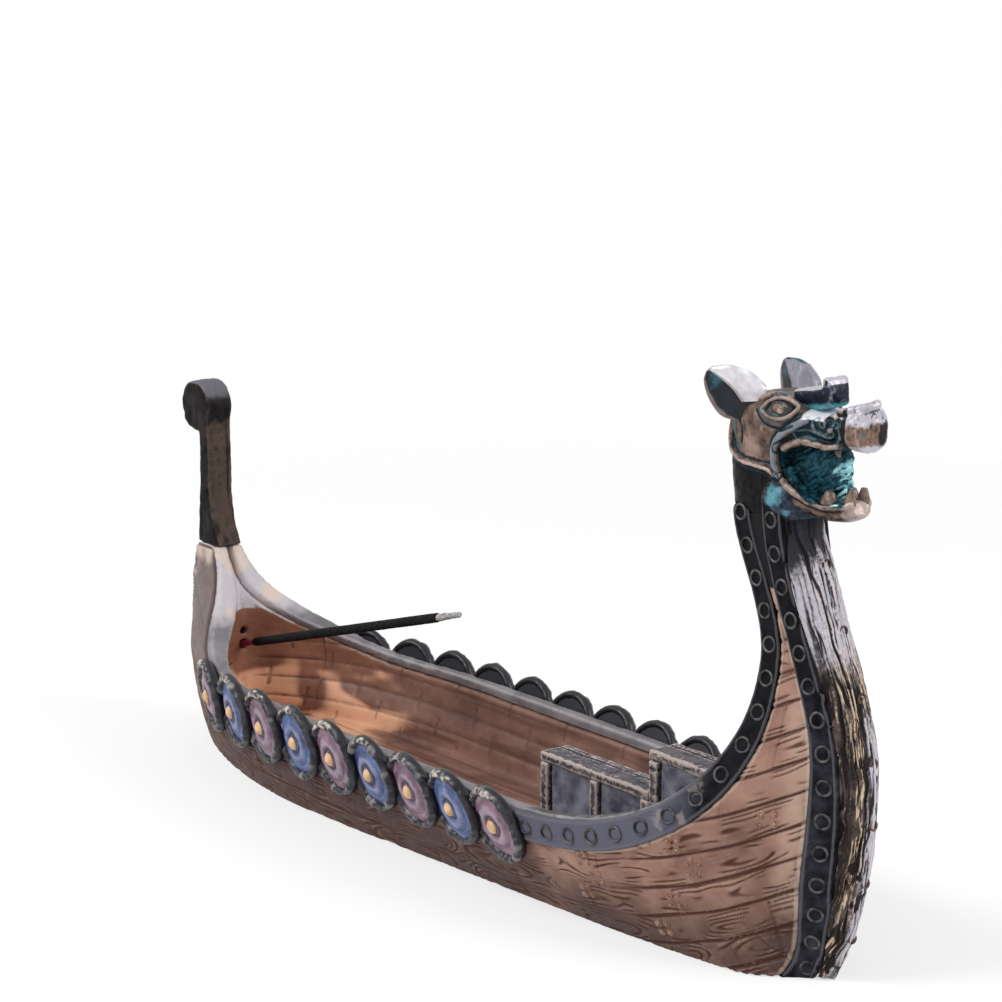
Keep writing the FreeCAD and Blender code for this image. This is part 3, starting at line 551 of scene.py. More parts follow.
def plankSide(name, bow):
    s, side = planks, sides[name]
    flat = bowFan() if bow else patchGrid(*sternEdges(side))
    x, z = flat[..., 0], flat[..., 1]
    surface = at(x, blurred(sideWidths(coreTree, x, z, side), 14), z)
    normal = gridNormals(surface, np.array([0, side, 0]))
    height, groove = plankRelief(x, z)
    neck = ease(s["neckFrom"], s["neckFrom"] + 2, z - 0.2 * np.abs(x - 90))
    height = height * (1 - neck) + neck * (s["neckLift"] + 0.12 * grain(surface, 2.2, 31))
    height = height + 0.04 * layered(surface, 1.6, 3, 21)
    tuck = 0.8 * ease(0.96, 1, np.linspace(0, 1, x.shape[1])[None]) * bow
    outer = surface + normal * (s["lift"] + height - tuck)[..., None]
    inner = surface - normal * s["inset"]
    marks = plankMarks(surface, flat, height, groove, neck)
    piece = closedSkin(f"{name}_{'bow' if bow else 'stern'}_planking", outer, inner, marks, 8)
    return place(piece, "ship", "carved_planks", plankPaint)


for name in sides:
    plankSide(name, True)
    plankSide(name, False)
print("planked sides made")


# Tray, the inside of the hull

trayCuts = {
    "seamPitch": 4.2, "seamWidth": 0.4, "seamLevel": 1.2, "floorPitch": 4.6, "buttPitch": 19.0,
    "buttShift": 7.7, "depth": 0.22, "floor": 5.0, "overlap": 1.2, "cell": 0.66,
}


trayTones = {  # where each comes in along x, and the light's upper edge
    "sun": (-42, -62), "moreSun": (-58, -74), "sunDown": (22, 15), "aft": (-50, -76), "streak": (-58, -40),
}


def sunlit(points):  # long soft patches near the stern
    t = trayTones
    x, z = points[:, 0], points[:, 2]
    patches = layered(points / [2.8, 1.3, 1.0], 4.2, 2, 42) + 0.4 * ease(*t["moreSun"], x)
    return ease(*t["sun"], x) * ease(-0.5, 0.65, patches) * ease(*t["sunDown"], z)


def wallBoards(points):  # seams and grain of the boarded walls
    s = trayCuts
    x, y, z = points.T
    level = z + s["seamLevel"]
    course = np.floor(level / s["seamPitch"])
    seam = bell(level % s["seamPitch"] - s["seamPitch"] / 2, s["seamWidth"])
    butt = bell((x + course * s["buttShift"]) % s["buttPitch"] - s["buttPitch"] / 2, s["seamWidth"])
    return np.maximum(seam, butt), ease(0.3, 0.9, grain(at(x / 9, y / 1.6, z / 1.6), 1.0, 41))


def trayRelief(points, normals):
    s = trayCuts
    x, y, z = points.T
    inside = ease(0.2, 0.6, -normals[:, 1] * np.sign(y)) * ease(4.0, 5.5, z)
    floor = ease(0.6, 0.9, normals[:, 2]) * bell(z - s["floor"], 0.8)
    floorSeam = bell(y % s["floorPitch"] - s["floorPitch"] / 2, s["seamWidth"])
    boards, stroke = wallBoards(points)
    groove = inside * boards + floor * floorSeam
    streak = ease(0.0, 0.8, grain(at(x / 14, y / 1.3, z / 1.3), 1.0, 43)) * ease(*trayTones["streak"], x)
    aft = ease(*trayTones["aft"], x)
    marks = {"groove": groove + 0.25 * stroke, "lit": sunlit(points), "aft": aft, "streak": streak}
    return -s["depth"] * groove - 0.06 * stroke, marks


trayPaint = finish("tray_wood", [(96, 67, 58), (130, 95, 82)], 9, [
    ("streak", 0.1, 0.9, (76, 47, 40), 2.0, 0.5, 0.6),
    ("aft", 0.2, 1.0, (122, 82, 65), 6.0, 0.4, 0.85),
    ("lit", 0.3, 1.05, (230, 176, 142), 3.0, 0.3, 0.9),
    ("groove", 0.25, 0.9, (62, 42, 38), 2.4, 0.6, 0.45),
    ("wear", 0.12, 0.6, (160, 130, 112), 1.6, 0.4, 0.4),
], rough=(0.3, 0.5))
trayForm = nodeMesh("hull_shell")
jointPlane = max(v.co.x for v in nodes["stern_block"].data.vertices)  # the tray runs on under the block
for vertex in trayForm.vertices:
    if abs(vertex.co.x - jointPlane) < 0.1 * mm:
        vertex.co.x -= trayCuts["overlap"] * mm
tray = remeshed("tray_and_core", trayForm, trayCuts["cell"], 3, 0.04, 1.6, 6, trayRelief)
place(tray, "ship", "carved_planks", trayPaint, "hull_shell")
print("tray made", len(tray.data.polygons))

# Stern block with the niche and the dished face above it

niche = {
    "halfWidth": 17.0, "height": 29.5, "cell": 0.36, "paleUp": (20, 31), "creamOut": (3.0, 5.5),
    "creamUp": (30, 40), "boardsDown": (24, 20), "sootUp": (18, 26),
}


def nicheRelief(points, normals):
    s = niche
    x, y, z = points.T
    arch = s["height"] * np.sqrt(np.clip(1 - (y / s["halfWidth"]) ** 2, 0, 1))
    pale = ease(-0.6, 0.6, z - arch) * ease(*s["paleUp"], z + 2.5 * layered(points, 5, 2, 52))
    pale = pale * ease(0.85, 0.6, np.abs(normals[:, 1]))
    outside = np.maximum(ease(-0.1, -0.4, normals[:, 0]), ease(0.4, 0.7, normals[:, 1] * np.sign(y)))
    pale = pale * (1 - outside)
    cream = pale * ease(*s["creamOut"], np.abs(y)) * ease(*s["creamUp"], z)
    groove, stroke = wallBoards(points)
    groove = groove * ease(0.3, 0.7, np.abs(normals[:, 1])) * ease(*s["boardsDown"], z) * (1 - outside)
    upright = outside * ease(0.1, 0.6, grain(at(x, y / 0.7, z / 7), 1.0, 54))
    relief = 0.06 * layered(points, 3, 2, 51) - trayCuts["depth"] * groove - 0.06 * stroke - 0.15 * upright
    return relief, {
        "pale": pale, "cream": cream, "lit": sunlit(points) * (1 - outside), "outside": outside,
        "soot": outside * ease(*s["sootUp"], z), "groove": np.maximum(groove + 0.25 * stroke, upright)}


nichePaint = finish("stern_niche_paint", [(114, 76, 60), (142, 98, 79)], 9, [
    ("pale", 0.3, 0.7, (202, 197, 204), 2.0, 0.25),
    ("cream", 0.3, 0.9, (206, 184, 168), 2.4, 0.7, 0.6),
    ("lit", 0.3, 1.05, (230, 176, 142), 3.0, 0.3, 0.9),
    ("outside", 0.3, 0.8, (88, 66, 59), 2.4, 0.2),
    ("soot", 0.2, 0.9, (112, 101, 99), 3.0, 0.4, 0.85),
    ("groove", 0.25, 0.9, (62, 42, 38), 2.4, 0.6, 0.45),
    ("wear", -0.12, -0.5, (70, 48, 42), 1.6, 0.4, 0.7),
], rough=(0.36, 0.58), shine=0.2)
block = remeshed("stern_niche", nodeMesh("stern_block"), niche["cell"], 2, 0.04, 2.0, 8, nicheRelief)
place(block, "ship", "carved_planks", nichePaint, "stern_block")
print("stern block made")

# Rails

railPaint = finish("worn_grey_rail", [(98, 95, 100), (128, 124, 128)], 7, [
    ("aft", 0.3, 0.9, (190, 184, 190), 3.0, 0.6, 0.85),
    ("cream", 0.3, 0.9, (208, 184, 168), 2.0, 0.7, 0.7),
    ("dark", 0.3, 0.8, (36, 36, 42), 1.5, 0.4),
    ("wear", 0.12, 0.5, (168, 160, 158), 1.6, 0.4, 0.5),
    ("wear", -0.1, -0.5, (62, 58, 62), 1.4, 0.4, 0.6),
], rough=(0.4, 0.65))


railTones = {"aft": (-70, -86), "aftUp": (24, 34), "dark": (34, 52)}  # where each comes in


def railRelief(points, normals):
    x, y, z = points.T
    stroke = ease(0.2, 0.8, grain(at(x / 6, y / 0.9, z / 0.9), 1.0, 61))
    aft = ease(*railTones["aft"], x) * ease(*railTones["aftUp"], z)
    cream = aft * ease(-0.2, 0.5, layered(points, 6, 2, 63))
    dark = ease(*railTones["dark"], x) * ease(-0.6, 0.5, layered(points, 5, 2, 62) + 0.55)
    return -0.1 * stroke, {"aft": aft, "cream": cream, "dark": dark}


for name in sides:
    rail = remeshed(name + "_worn_rail", nodeMesh(name + "_rail"), 0.4, 3, 0.05, 2.4, 6, railRelief)
    place(rail, "ship", "grey_rail", railPaint, name + "_rail")
print("rails made")


# Dark bands with raised lips, and the ring rivets on them

bandPaint = finish("blackened_band", [(7, 8, 11), (23, 23, 28)], 3, [
    ("bluish", 0.2, 0.9, (90, 90, 104), 3.0, 0.5, 0.9),
    ("cream", 0.35, 0.8, (160, 150, 142), 0.9, 1.0, 0.45),
    ("wear", 0.3, 1.0, (104, 102, 108), 0.9, 0.9, 0.42),
], rough=(0.32, 0.58), shine=0.05)


bandTones = {  # where the slate tone and the cream flecks come in
    "sheerAft": (92, 72), "sheerDown": (60, 46), "stemFore": (94, 98), "stemDown": (66, 46),
    "stemShare": 0.34, "creamAt": 80, "creamDown": (50, 40),
}


def bandPiece(name, side, first, second, slot, *replaced):  # a strip between two side-view lines
    s, t = bandSizes, bandTones
    share = np.linspace(0, 1, s["columns"] + 1)[None, :, None]
    flat = first[:, None] * (1 - share) + second[:, None] * share
    x, z = flat[..., 0], flat[..., 1]
    surface = at(x, blurred(sideWidths(hullTree, x, z, side), 10), z)
    normal = gridNormals(surface, np.array([0, side, 0]))
    edge = np.minimum(share[..., 0], 1 - share[..., 0]) * np.ones(x.shape)
    lip = bell(edge - 0.07, 0.06) * s["lip"]
    roundOff = -0.35 * bell(edge, 0.03)
    height = s["thickness"] + lip + roundOff + 0.07 * layered(surface, 1.8, 2, 71)
    outer = surface + normal * height[..., None]
    slate = ease(*t["sheerAft"], x) * ease(*t["sheerDown"], z)
    flecks = ease(0.0, 0.8, layered(surface, 4, 2, 72) + 0.3)
    marks = {
        "wear": (height - blurred(height, 8)) / 0.2 + lip,
        "bluish": slate + t["stemShare"] * ease(*t["stemFore"], x) * ease(*t["stemDown"], z),
        "cream": bell(x - t["creamAt"], 5) * flecks * ease(*t["creamDown"], z),
    }
    piece = closedSkin(name, outer, surface - normal * 0.1, marks, 4)
    return place(piece, "ship", slot, bandPaint, *replaced)


def bandLines():
    s, into = bandSizes, inward(sheer)
    reach = sheer[:, 0] > hullLines["bandStart"] - 9
    upper = evenly((sheer + into * s["fromTop"])[reach], s["rowsSheer"])
    lower = evenly((sheer + into * bandReach(sheer[:, 1:]))[reach], s["rowsSheer"])
    heights = np.linspace(0.3, hullLines["neckHeight"], s["rowsStem"])
    front = at(stemBack(heights) + 0.5, heights)
    return upper, lower, front, front - [s["stemWidth"], 0]


upperLine, lowerLine, stemEdge, stemInner = bandLines()
for name, side in sides.items():
    bandPiece(name + "_banded_sheer", side, upperLine, lowerLine, "dark_band", name + "_sheer_band")
    bandPiece(name + "_banded_stem", side, stemEdge, stemInner, "dark_band", name + "_stem_band")
print("bands made")


def socketOf(tree, name):
    return next(i.identifier for i in tree.interface.items_tree if i.name == name and i.in_out == "INPUT")


def ringTree():  # a ring on each point, turned to face outwards
    tree = bpy.data.node_groups.new("ringRivets", "GeometryNodeTree")
    face = tree.interface
    face.new_socket("Geometry", in_out="INPUT", socket_type="NodeSocketGeometry")
    for key, value in (("Ring radius", 1.2), ("Wire radius", 0.4), ("Dome radius", 0.0)):
        face.new_socket(key, in_out="INPUT", socket_type="NodeSocketFloat").default_value = value
    face.new_socket("Finish", in_out="INPUT", socket_type="NodeSocketMaterial")
    face.new_socket("Geometry", in_out="OUTPUT", socket_type="NodeSocketGeometry")
    given = wire(tree, "NodeGroupInput").outputs
    circle = "GeometryNodeCurvePrimitiveCircle"
    path = wire(tree, circle, {"Resolution": 22, "Radius": given["Ring radius"]})
    section = wire(tree, circle, {"Resolution": 8, "Radius": given["Wire radius"]})
    ring = wire(tree, "GeometryNodeCurveToMesh", {
        "Curve": path.outputs[0], "Profile Curve": section.outputs[0]})
    dome = wire(tree, "GeometryNodeMeshUVSphere", {
        "Segments": 14, "Rings": 8, "Radius": given["Dome radius"]})
    both = wire(tree, "GeometryNodeJoinGeometry")
    tree.links.new(ring.outputs[0], both.inputs[0])
    tree.links.new(dome.outputs[0], both.inputs[0])
    facing = wire(tree, "GeometryNodeInputNamedAttribute", {"Name": "facing"}, data_type="FLOAT_VECTOR")
    turn = wire(tree, "FunctionNodeAlignRotationToVector", {"Vector": facing.outputs[0]}, axis="Z")
    spread = wire(tree, "GeometryNodeInstanceOnPoints", {
        "Points": given["Geometry"], "Instance": both.outputs[0], "Rotation": turn.outputs[0]})
    solid = wire(tree, "GeometryNodeRealizeInstances", {"Geometry": spread.outputs[0]})
    smooth = wire(tree, "GeometryNodeSetShadeSmooth", {"Geometry": solid.outputs[0]})
    coated = wire(tree, "GeometryNodeSetMaterial", {
        "Geometry": smooth.outputs[0], "Material": given["Finish"]})
    out = wire(tree, "NodeGroupOutput")
    tree.links.new(coated.outputs[0], out.inputs[0])
    return tree


rivetTree = ringTree()


def rivets(name, points, facing, sizes, material):
    mesh = bpy.data.meshes.new(name)
    mesh.from_pydata((points * mm).tolist(), [], [])
    layer = mesh.attributes.new("facing", "FLOAT_VECTOR", "POINT")
    layer.data.foreach_set("vector", np.asarray(facing, np.float32).ravel())
    piece = bpy.data.objects.new(name, mesh)
    scene.collection.objects.link(piece)
    grow = piece.modifiers.new("rivets", "NODES")
    grow.node_group = rivetTree
    for key, value in sizes.items():
        grow[socketOf(rivetTree, key)] = value * mm
    grow[socketOf(rivetTree, "Finish")] = material
    made = bpy.data.meshes.new_from_object(piece.evaluated_get(bpy.context.evaluated_depsgraph_get()))
    piece.modifiers.clear()
    piece.data = made
    made.name = name
    return piece


ringPaint = finish("worn_ring_metal", [(16, 16, 20), (88, 85, 86)], 1.6, (), rough=(0.3, 0.5), metal=0.2)
ringSizes = {"Ring radius": 1.35, "Wire radius": 0.27, "Dome radius": 0.0}
ringPlaces = {"pitch": 5.9, "lift": 1.0, "margin": 2.5, "steps": 1000}


def ringRow(line):  # places along a line at an even pitch
    pitch, margin, steps = ringPlaces["pitch"], ringPlaces["margin"], ringPlaces["steps"]
    run = np.linalg.norm(np.diff(line, axis=0), axis=1).sum()
    count = int((run - 2 * margin) / pitch) + 1
    shares = np.linspace(margin / run, 1 - margin / run, count)
    return evenly(line, steps)[(shares * (steps - 1)).astype(int)]


def outwardOn(spots, side, probe=0.8):  # points on the hull, and the way each faces
    x, z = spots.T
    spot = onHull(x, z, side)
    facing = unit(np.cross(onHull(x + probe, z, side) - spot, onHull(x, z + probe, side) - spot))
    return spot, facing * np.sign(facing[:, 1:2] * side)


bandMiddles = {"sheer": (upperLine + lowerLine) / 2, "stem": (stemEdge + stemInner) / 2}
for name, side in sides.items():
    for kind, line in bandMiddles.items():
        spot, facing = outwardOn(ringRow(line), side)
        centres = spot + facing * ringPlaces["lift"]
        piece = rivets(f"{name}_{kind}_ring_rivets", centres, facing, ringSizes, ringPaint)
        place(piece, "ship", "worn_ring", ringPaint, f"{name}_{kind}_rings")
print("ring rivets made")

# Stem post, a driftwood front timber

stemSizes = {"rows": 480, "columns": 80, "groove": 0.4, "ridge": 0.25, "castFrom": 30}
stemTree = treeOf("stem_post")
stemPaint = finish("driftwood_stem", [(46, 38, 36), (98, 83, 77)], 3, [
    ("dry", 0.25, 0.75, (204, 180, 154), 0.4, 0.7, 0.85),
    ("wear", 0.25, 0.8, (208, 188, 168), 0.5, 1.1, 0.75),
    # silver paint at the top of the stem, and a painted highlight on the port half of the lower stem
    ("silverAndHighlight", 0.3, 1.1, (190, 186, 196), 0.7, 1.2, 0.8),
    ("shadow", 0.3, 1.0, (32, 28, 30), 1.4, 0.9, 0.75),
    ("groove", 0.12, 0.7, (22, 18, 19), 0.8, 0.5, 0.95),
    ("throat", 0.1, 0.65, (18, 19, 27), 0.9, 0.5, 0.95),
], rough=(0.45, 0.7), shine=0.1)


stemTones = {  # where each comes in, up the stem or across it
    "pitsDown": (70, 34), "dry": (-4.2, -2.6), "silverUp": (52, 64), "portHighlight": (-2.0, -0.4),
    "portHighlightDown": (60, 42), "shadowAt": -3.4, "shadowDown": (66, 50), "throat": (75, 84),
}


def stemPost():
    s, t = stemSizes, stemTones
    z = np.linspace(0.3, hullLines["neckHeight"] - 0.1, s["rows"] + 1)[:, None]
    turn = np.linspace(-math.pi / 2, math.pi / 2, s["columns"] + 1)[None]
    x = stemBack(z) + 0.6
    aim = at(np.cos(turn), np.sin(turn), 0 * z)
    surface = blurred(castOn(stemTree, at(x, 0, z) + aim * s["castFrom"], -aim), 4)
    normal = gridNormals(surface, aim)
    y = surface[..., 1]
    weave = y + 0.5 * grain(at(0, y / 3, z / 9), 1.0, 81) + 0.25 * grain(at(1, y, z / 3), 1.0, 82)
    line = grain(at(weave * 1.5, z / 22, 0), 1.0, 83)
    groove = bell(line, 0.16) * ease(-0.5, 0.1, grain(at(y / 2, z / 8, 3), 1.0, 84))
    slits = bell(grain(at(weave * 3.4, z / 12, 5), 1.0, 89), 0.14)
    slits = slits * ease(-0.2, 0.3, grain(at(y, z / 6, 7), 1.0, 90))
    fibre = layered(at(weave * 3.2, z / 9, 0), 1.0, 2, 87)
    pits = ease(0.25, 0.7, layered(surface / [1, 1, 2.2], 1.5, 3, 85)) * ease(*t["pitsDown"], z)
    ridge = s["ridge"] * bell(y, 0.7) + 0.16 * fibre
    carved = np.max([groove, 0.8 * pits, 0.6 * slits], axis=0)
    height = ridge - s["groove"] * carved + 0.1 * layered(surface, 1.5, 3, 86)
    outer = surface + normal * height[..., None]
    inner = at(x, np.clip(y, -4, 4) * 0.9, z + 0 * y)
    hair = layered(at(weave * 5.6, z / 3.4, 2), 1.0, 2, 94)
    smear = 0.9 * y - 2.2 * grain(at(weave * 1.8, z / 6, 4), 1.0, 88)
    marks = {
        "groove": np.max([groove, pits, 0.9 * slits], axis=0) + 0.5 * ease(0.0, -0.7, fibre),
        "wear": (height - blurred(height, 10)) / 0.25,
        "dry": ease(0.0, 0.7, hair) * ease(*t["dry"], y),
        # silver paint at the top, and a painted highlight on the port half of the lower stem
        "silverAndHighlight": ease(*t["silverUp"], z) + 1.1 * ease(*t["portHighlight"], y) * ease(*t["portHighlightDown"], z),
        "shadow": bell(y - t["shadowAt"], 0.8) * ease(*t["shadowDown"], z),
        "throat": ease(*t["throat"], z - smear),
    }
    return closedSkin("driftwood_stem_post", outer, inner, marks, 8)


place(stemPost(), "ship", "carved_stem", stemPaint, "stem_post")
pegSizes = {"Ring radius": 0.8, "Wire radius": 0.26, "Dome radius": 0.3}
pegPlaces = {"lowest": 9, "highest": 76, "count": 7, "offset": 0.4, "sink": 0.05, "facing": (1.0, 0, 0.1)}
pegHeights = np.linspace(pegPlaces["lowest"], pegPlaces["highest"], pegPlaces["count"])
pegOrigins = at(140.0, pegPlaces["offset"], pegHeights)
pegSpots = castOn(stemTree, pegOrigins, np.broadcast_to([-1.0, 0, 0], pegOrigins.shape))
pegFacing = np.broadcast_to(pegPlaces["facing"], pegSpots.shape)
pegs = rivets("stem_peg_rings", pegSpots - [pegPlaces["sink"], 0, 0], pegFacing, pegSizes, stemPaint)
place(pegs, "ship", "carved_stem", stemPaint, "stem_pegs")
print("stem made")

# Plank nails in groups of four

nailPlaces = {
    "groups": ((58.6, 16.0), (61.1, 12.6), (80.0, 23.4), (84.1, 19.7), (78.9, 12.5), (74.1, 5.4), (56.5, 8.6),
               (96.5, 31.0)),
    "along": 1.05, "across": 0.9, "slope": 0.25, "lift": 0.42,
}
nailSizes = {"Ring radius": 0.6, "Wire radius": 0.16, "Dome radius": 0.42}
nailPaint = finish("nail_paint", [(104, 72, 58), (158, 124, 106)], 1.5, (), rough=(0.4, 0.6))
nailAlong, nailAcross = nailPlaces["along"], nailPlaces["across"]
nailCorners = [(a, b + nailPlaces["slope"] * a)
               for a in (-nailAlong, nailAlong) for b in (-nailAcross, nailAcross)]
nailSpots = np.array([(x + a, z + b) for x, z in nailPlaces["groups"] for a, b in nailCorners])
for name, side in sides.items():
    spot, facing = outwardOn(nailSpots, side)
    nails = rivets(name + "_plank_nails", spot + facing * nailPlaces["lift"], facing, nailSizes, nailPaint)
    place(nails, "ship", "carved_planks", nailPaint)
print("nails made")

# Round shields

shieldSizes = {
    "radius": 8.1, "rings": 44, "turns": 120, "pitch": 13.56, "first": 35.3, "height": 17.1, "count": 9,
    "probe": 6.5, "standOff": 0.9, "tilt": 6.0, "crown": 1.2, "thickness": 0.7, "narrow": {-1: 0.04, 1: 0.16},
    "rimRadius": 1.0, "rimInset": 0.75, "rimFlatness": 1.25, "rimGrid": (132, 14), "lays": 19,
    "bossRadius": 1.35, "bossFoot": 0.9, "bossHeight": 1.2, "bossStretch": 1.15, "bossGrid": (14, 28),
}
boardColours = {"mauve": [(96, 72, 88), (134, 106, 122)], "blue": [(52, 66, 104), (86, 104, 148)]}
boardPaints = []
for label, shades in boardColours.items():
    boardPaints.append(finish(label + "_shield_paint", shades, 3.5, [
        ("collar", 0.3, 0.9, (144, 134, 154), 1.2, 0.7, 0.2),
        ("shade", 0.3, 0.9, (36, 34, 44), 1.2, 0.6, 0.85),
        ("wear", 0.2, 0.7, (180, 172, 182), 0.9, 0.7, 0.25),
        ("rear", 0.3, 0.7, (34, 33, 40)),
    ], rough=(0.34, 0.58)))
rimPaint = finish("dark_shield_rim", [(20, 20, 24), (58, 58, 66)], 1.8, [
    ("wear", -0.1, -0.7, (18, 18, 22), 0.9, 0.3, 0.9),
    ("wear", 0.35, 1.0, (140, 134, 134), 0.9, 0.6, 0.6),
    # cream wear with a painted highlight on the upper arc of each rim
    ("top", 0.85, 1.2, (216, 204, 190), 1.0, 1.2, 0.7),
    ("rear", 0.2, 0.7, (26, 25, 30), 1.0, 0.2),
], rough=(0.25, 0.45))
bossPaint = finish("cream_boss", [(190, 148, 104), (222, 186, 144)], 1.5, [
    ("edge", 0.4, 0.9, (40, 32, 34), 0.6, 0.3),
], rough=(0.35, 0.5))


def shieldFrame(side, k):
    s = shieldSizes
    x, z, probe = s["first"] - s["pitch"] * k, s["height"], s["probe"]
    spots = np.array([(x, z), (x + probe, z), (x, z - probe), (x - probe, z)])
    centre, fore, low, aft = onHull(*spots.T, side)
    along = unit(fore - aft)
    normal = unit(np.cross(along, centre - low))
    normal = normal * np.sign(normal[1] * side)
    tilt = math.radians(s["tilt"])
    level, turned = math.cos(tilt), math.sin(tilt)
    along, normal = along * level + normal * turned, normal * level - along * turned
    up = unit(np.cross(normal, along))
    up = up * np.sign(up[2])
    return centre + normal * s["standOff"], along, up, normal


def shieldBoard(name, centre, along, up, normal, seed, narrow):
    s = shieldSizes
    r = np.linspace(0.02, 1, s["rings"] + 1)[:, None]
    turn = np.linspace(0, 2 * math.pi, s["turns"], endpoint=False)[None]
    a, b = r * np.cos(turn), r * np.sin(turn)
    flat = at(a * s["radius"], b * s["radius"], seed * 9.0)
    strokes = grain(at(flat[..., 0] / 4, flat[..., 1] / 0.8, flat[..., 2]), 1.0, 91)
    height = s["crown"] * (1 - r ** 2) + 0.1 * strokes + 0.16 * layered(flat, 2.6, 3, 92) * ease(0.1, 0.3, r)
    height = height + 0.22 * bell(r - 0.42, 0.09) - 0.3 * bell(r - 0.25, 0.05) - 0.22 * bell(r - 0.62, 0.04)
    wide = a * s["radius"] * (1 - narrow * ease(0, 0.5, b))
    face = centre + wide[..., None] * along + (b * s["radius"])[..., None] * up + height[..., None] * normal
    rear = face[::-1] - normal * (height[::-1] + s["thickness"])[..., None]
    points = np.concatenate([face, rear])
    faces = tubeFaces(len(points), s["turns"], False)
    both = lambda v: np.concatenate([v * np.ones(a.shape), (v * np.ones(a.shape))[::-1]])
    shade = np.max([ease(0.76, 0.9, r), bell(r - 0.25, 0.06), 0.45 * bell(r - 0.62, 0.05)], axis=0)
    marks = {
        "collar": both(bell(r - 0.42, 0.1)), "shade": both(shade),
        "wear": both((height - s["crown"] * (1 - r ** 2)) / 0.3),
        "rear": np.concatenate([np.zeros(a.shape), np.ones(a.shape)]),
    }
    return meshPiece(name, points, faces, marks)


def shieldRims(frames, narrow):  # rope-like rims, all of one side in one piece
    s = shieldSizes
    points, faces, top, wear, rear = [], [], [], [], []
    rows, cols = s["rimGrid"]
    turn = np.linspace(0, 2 * math.pi, rows, endpoint=False)[:, None]
    bend = np.linspace(0, 2 * math.pi, cols, endpoint=False)[None]
    for k, (centre, along, up, normal) in enumerate(frames):
        lay = np.cos(s["lays"] * turn + bend + 0.9 * np.sin(5 * turn + k))
        lump = layered(at(np.cos(turn) * 8, np.sin(turn) * 8, np.sin(bend) + k * 7), 1.8, 2, 95)
        fore = ease(-0.4, 0.4, np.sin(bend))
        thick = s["rimRadius"] * (1 + (0.05 * lay + 0.26 * lump) * (0.3 + 0.7 * fore))
        out = s["radius"] - s["rimInset"] + thick * np.cos(bend) * 0.9
        high = thick * np.sin(bend) * s["rimFlatness"]
        wide = out * np.cos(turn) * (1 - narrow * ease(0, 0.5, np.sin(turn)))
        ring = centre + wide[..., None] * along + (out * np.sin(turn))[..., None] * up
        faces += tubeFaces(rows, cols, True, len(points) * rows * cols)
        points.append(ring + high[..., None] * normal)
        # cream wear with a painted highlight on the upper arc and outer face of each rim
        top.append(ease(0.2, 1.0, np.sin(turn - 0.25)) * ease(-0.1, 0.8, np.sin(bend) + 0.5 * np.cos(bend)))
        wear.append((0.25 * lay + 1.0 * lump) * fore)
        rear.append(ease(0.3, -0.3, np.sin(bend)) + 0 * turn)
    marks = {"top": np.concatenate(top), "wear": np.concatenate(wear), "rear": np.concatenate(rear)}
    return np.concatenate(points), faces, marks


def shieldBosses(frames):  # low domes, all of one side in one piece
    s = shieldSizes
    rows, cols = s["bossGrid"]
    rise = np.linspace(0, math.pi / 2 - 0.04, rows)[:, None]
    turn = np.linspace(0, 2 * math.pi, cols, endpoint=False)[None]
    wide = s["bossRadius"] * np.cos(rise)
    high = s["bossFoot"] + s["bossHeight"] * np.sin(rise) + 0 * turn
    points, faces, edge = [], [], []
    for centre, along, up, normal in frames:
        faces += tubeFaces(rows, cols, False, len(points) * rows * cols)
        dome = centre + (wide * np.cos(turn))[..., None] * along
        dome = dome + (s["bossStretch"] * wide * np.sin(turn))[..., None] * up
        points.append(dome + high[..., None] * normal)
        edge.append(ease(0.55, 0.1, rise) + 0 * turn)
    return np.concatenate(points), faces, {"edge": np.concatenate(edge)}


for name, side in sides.items():
    narrow = shieldSizes["narrow"][side]
    frames = [shieldFrame(side, k) for k in range(shieldSizes["count"])]
    for k, shieldAxes in enumerate(frames):
        board = shieldBoard(f"{name}_shield_board_{k + 1}", *shieldAxes, k + 1 + 20 * (side > 0), narrow)
        slot = "blue_board" if k % 2 else "mauve_board"
        place(board, "ship", slot, boardPaints[k % 2], f"{name}_shield_{k + 1}")
    rims = meshPiece(name + "_rope_rims", *shieldRims(frames, narrow))
    place(rims, "ship", "dark_rim", rimPaint, name + "_shield_rims")
    studs = meshPiece(name + "_boss_studs", *shieldBosses(frames))
    place(studs, "ship", "cream_boss", bossPaint, name + "_shield_bosses")
print("shields made")

# Bench and step

benchPaint = finish("worn_bench_paint", [(52, 51, 60), (92, 88, 95)], 3, [
    ("groove", 0.3, 0.8, (40, 38, 46), 1.0, 0.5, 0.85),
    ("wear", 0.06, 0.35, (196, 180, 170), 0.7, 0.8, 0.7),
    ("wear", -0.06, -0.3, (50, 46, 52), 1.0, 0.4, 0.8),
], rough=(0.45, 0.7), shine=0.12)
panelPaint = finish("bench_panel_paint", [(66, 67, 80), (126, 126, 138)], 4, [
    ("wear", 0.08, 0.4, (132, 128, 134), 1.0, 0.5, 0.7),
], rough=(0.4, 0.65))


def benchRelief(points, normals):
    x, y, z = points.T
    stroke = ease(0.15, 0.8, grain(at(x / 7, y / 0.8, z / 0.8), 1.0, 101))
    slit = bell(y - 1.6, 0.25) * ease(0.5, 0.9, normals[:, 2])
    return -0.12 * stroke - 0.3 * slit, {"groove": slit + 0.3 * stroke}


benchCells = {
    "bench_top": 0.26, "bench_posts": 0.26, "bench_panels": 0.32,
    "step_top": 0.26, "step_posts": 0.26, "step_panels": 0.32,
}
for piece, cell in benchCells.items():
    panel = piece.endswith("panels")
    made = remeshed("worn_" + piece, nodeMesh(piece), cell, 2, 0.07, 1.6, 6, benchRelief)
    place(made, "ship", "bench_panel" if panel else "bench_frame", panelPaint if panel else benchPaint, piece)
print("bench made")

# Stern post

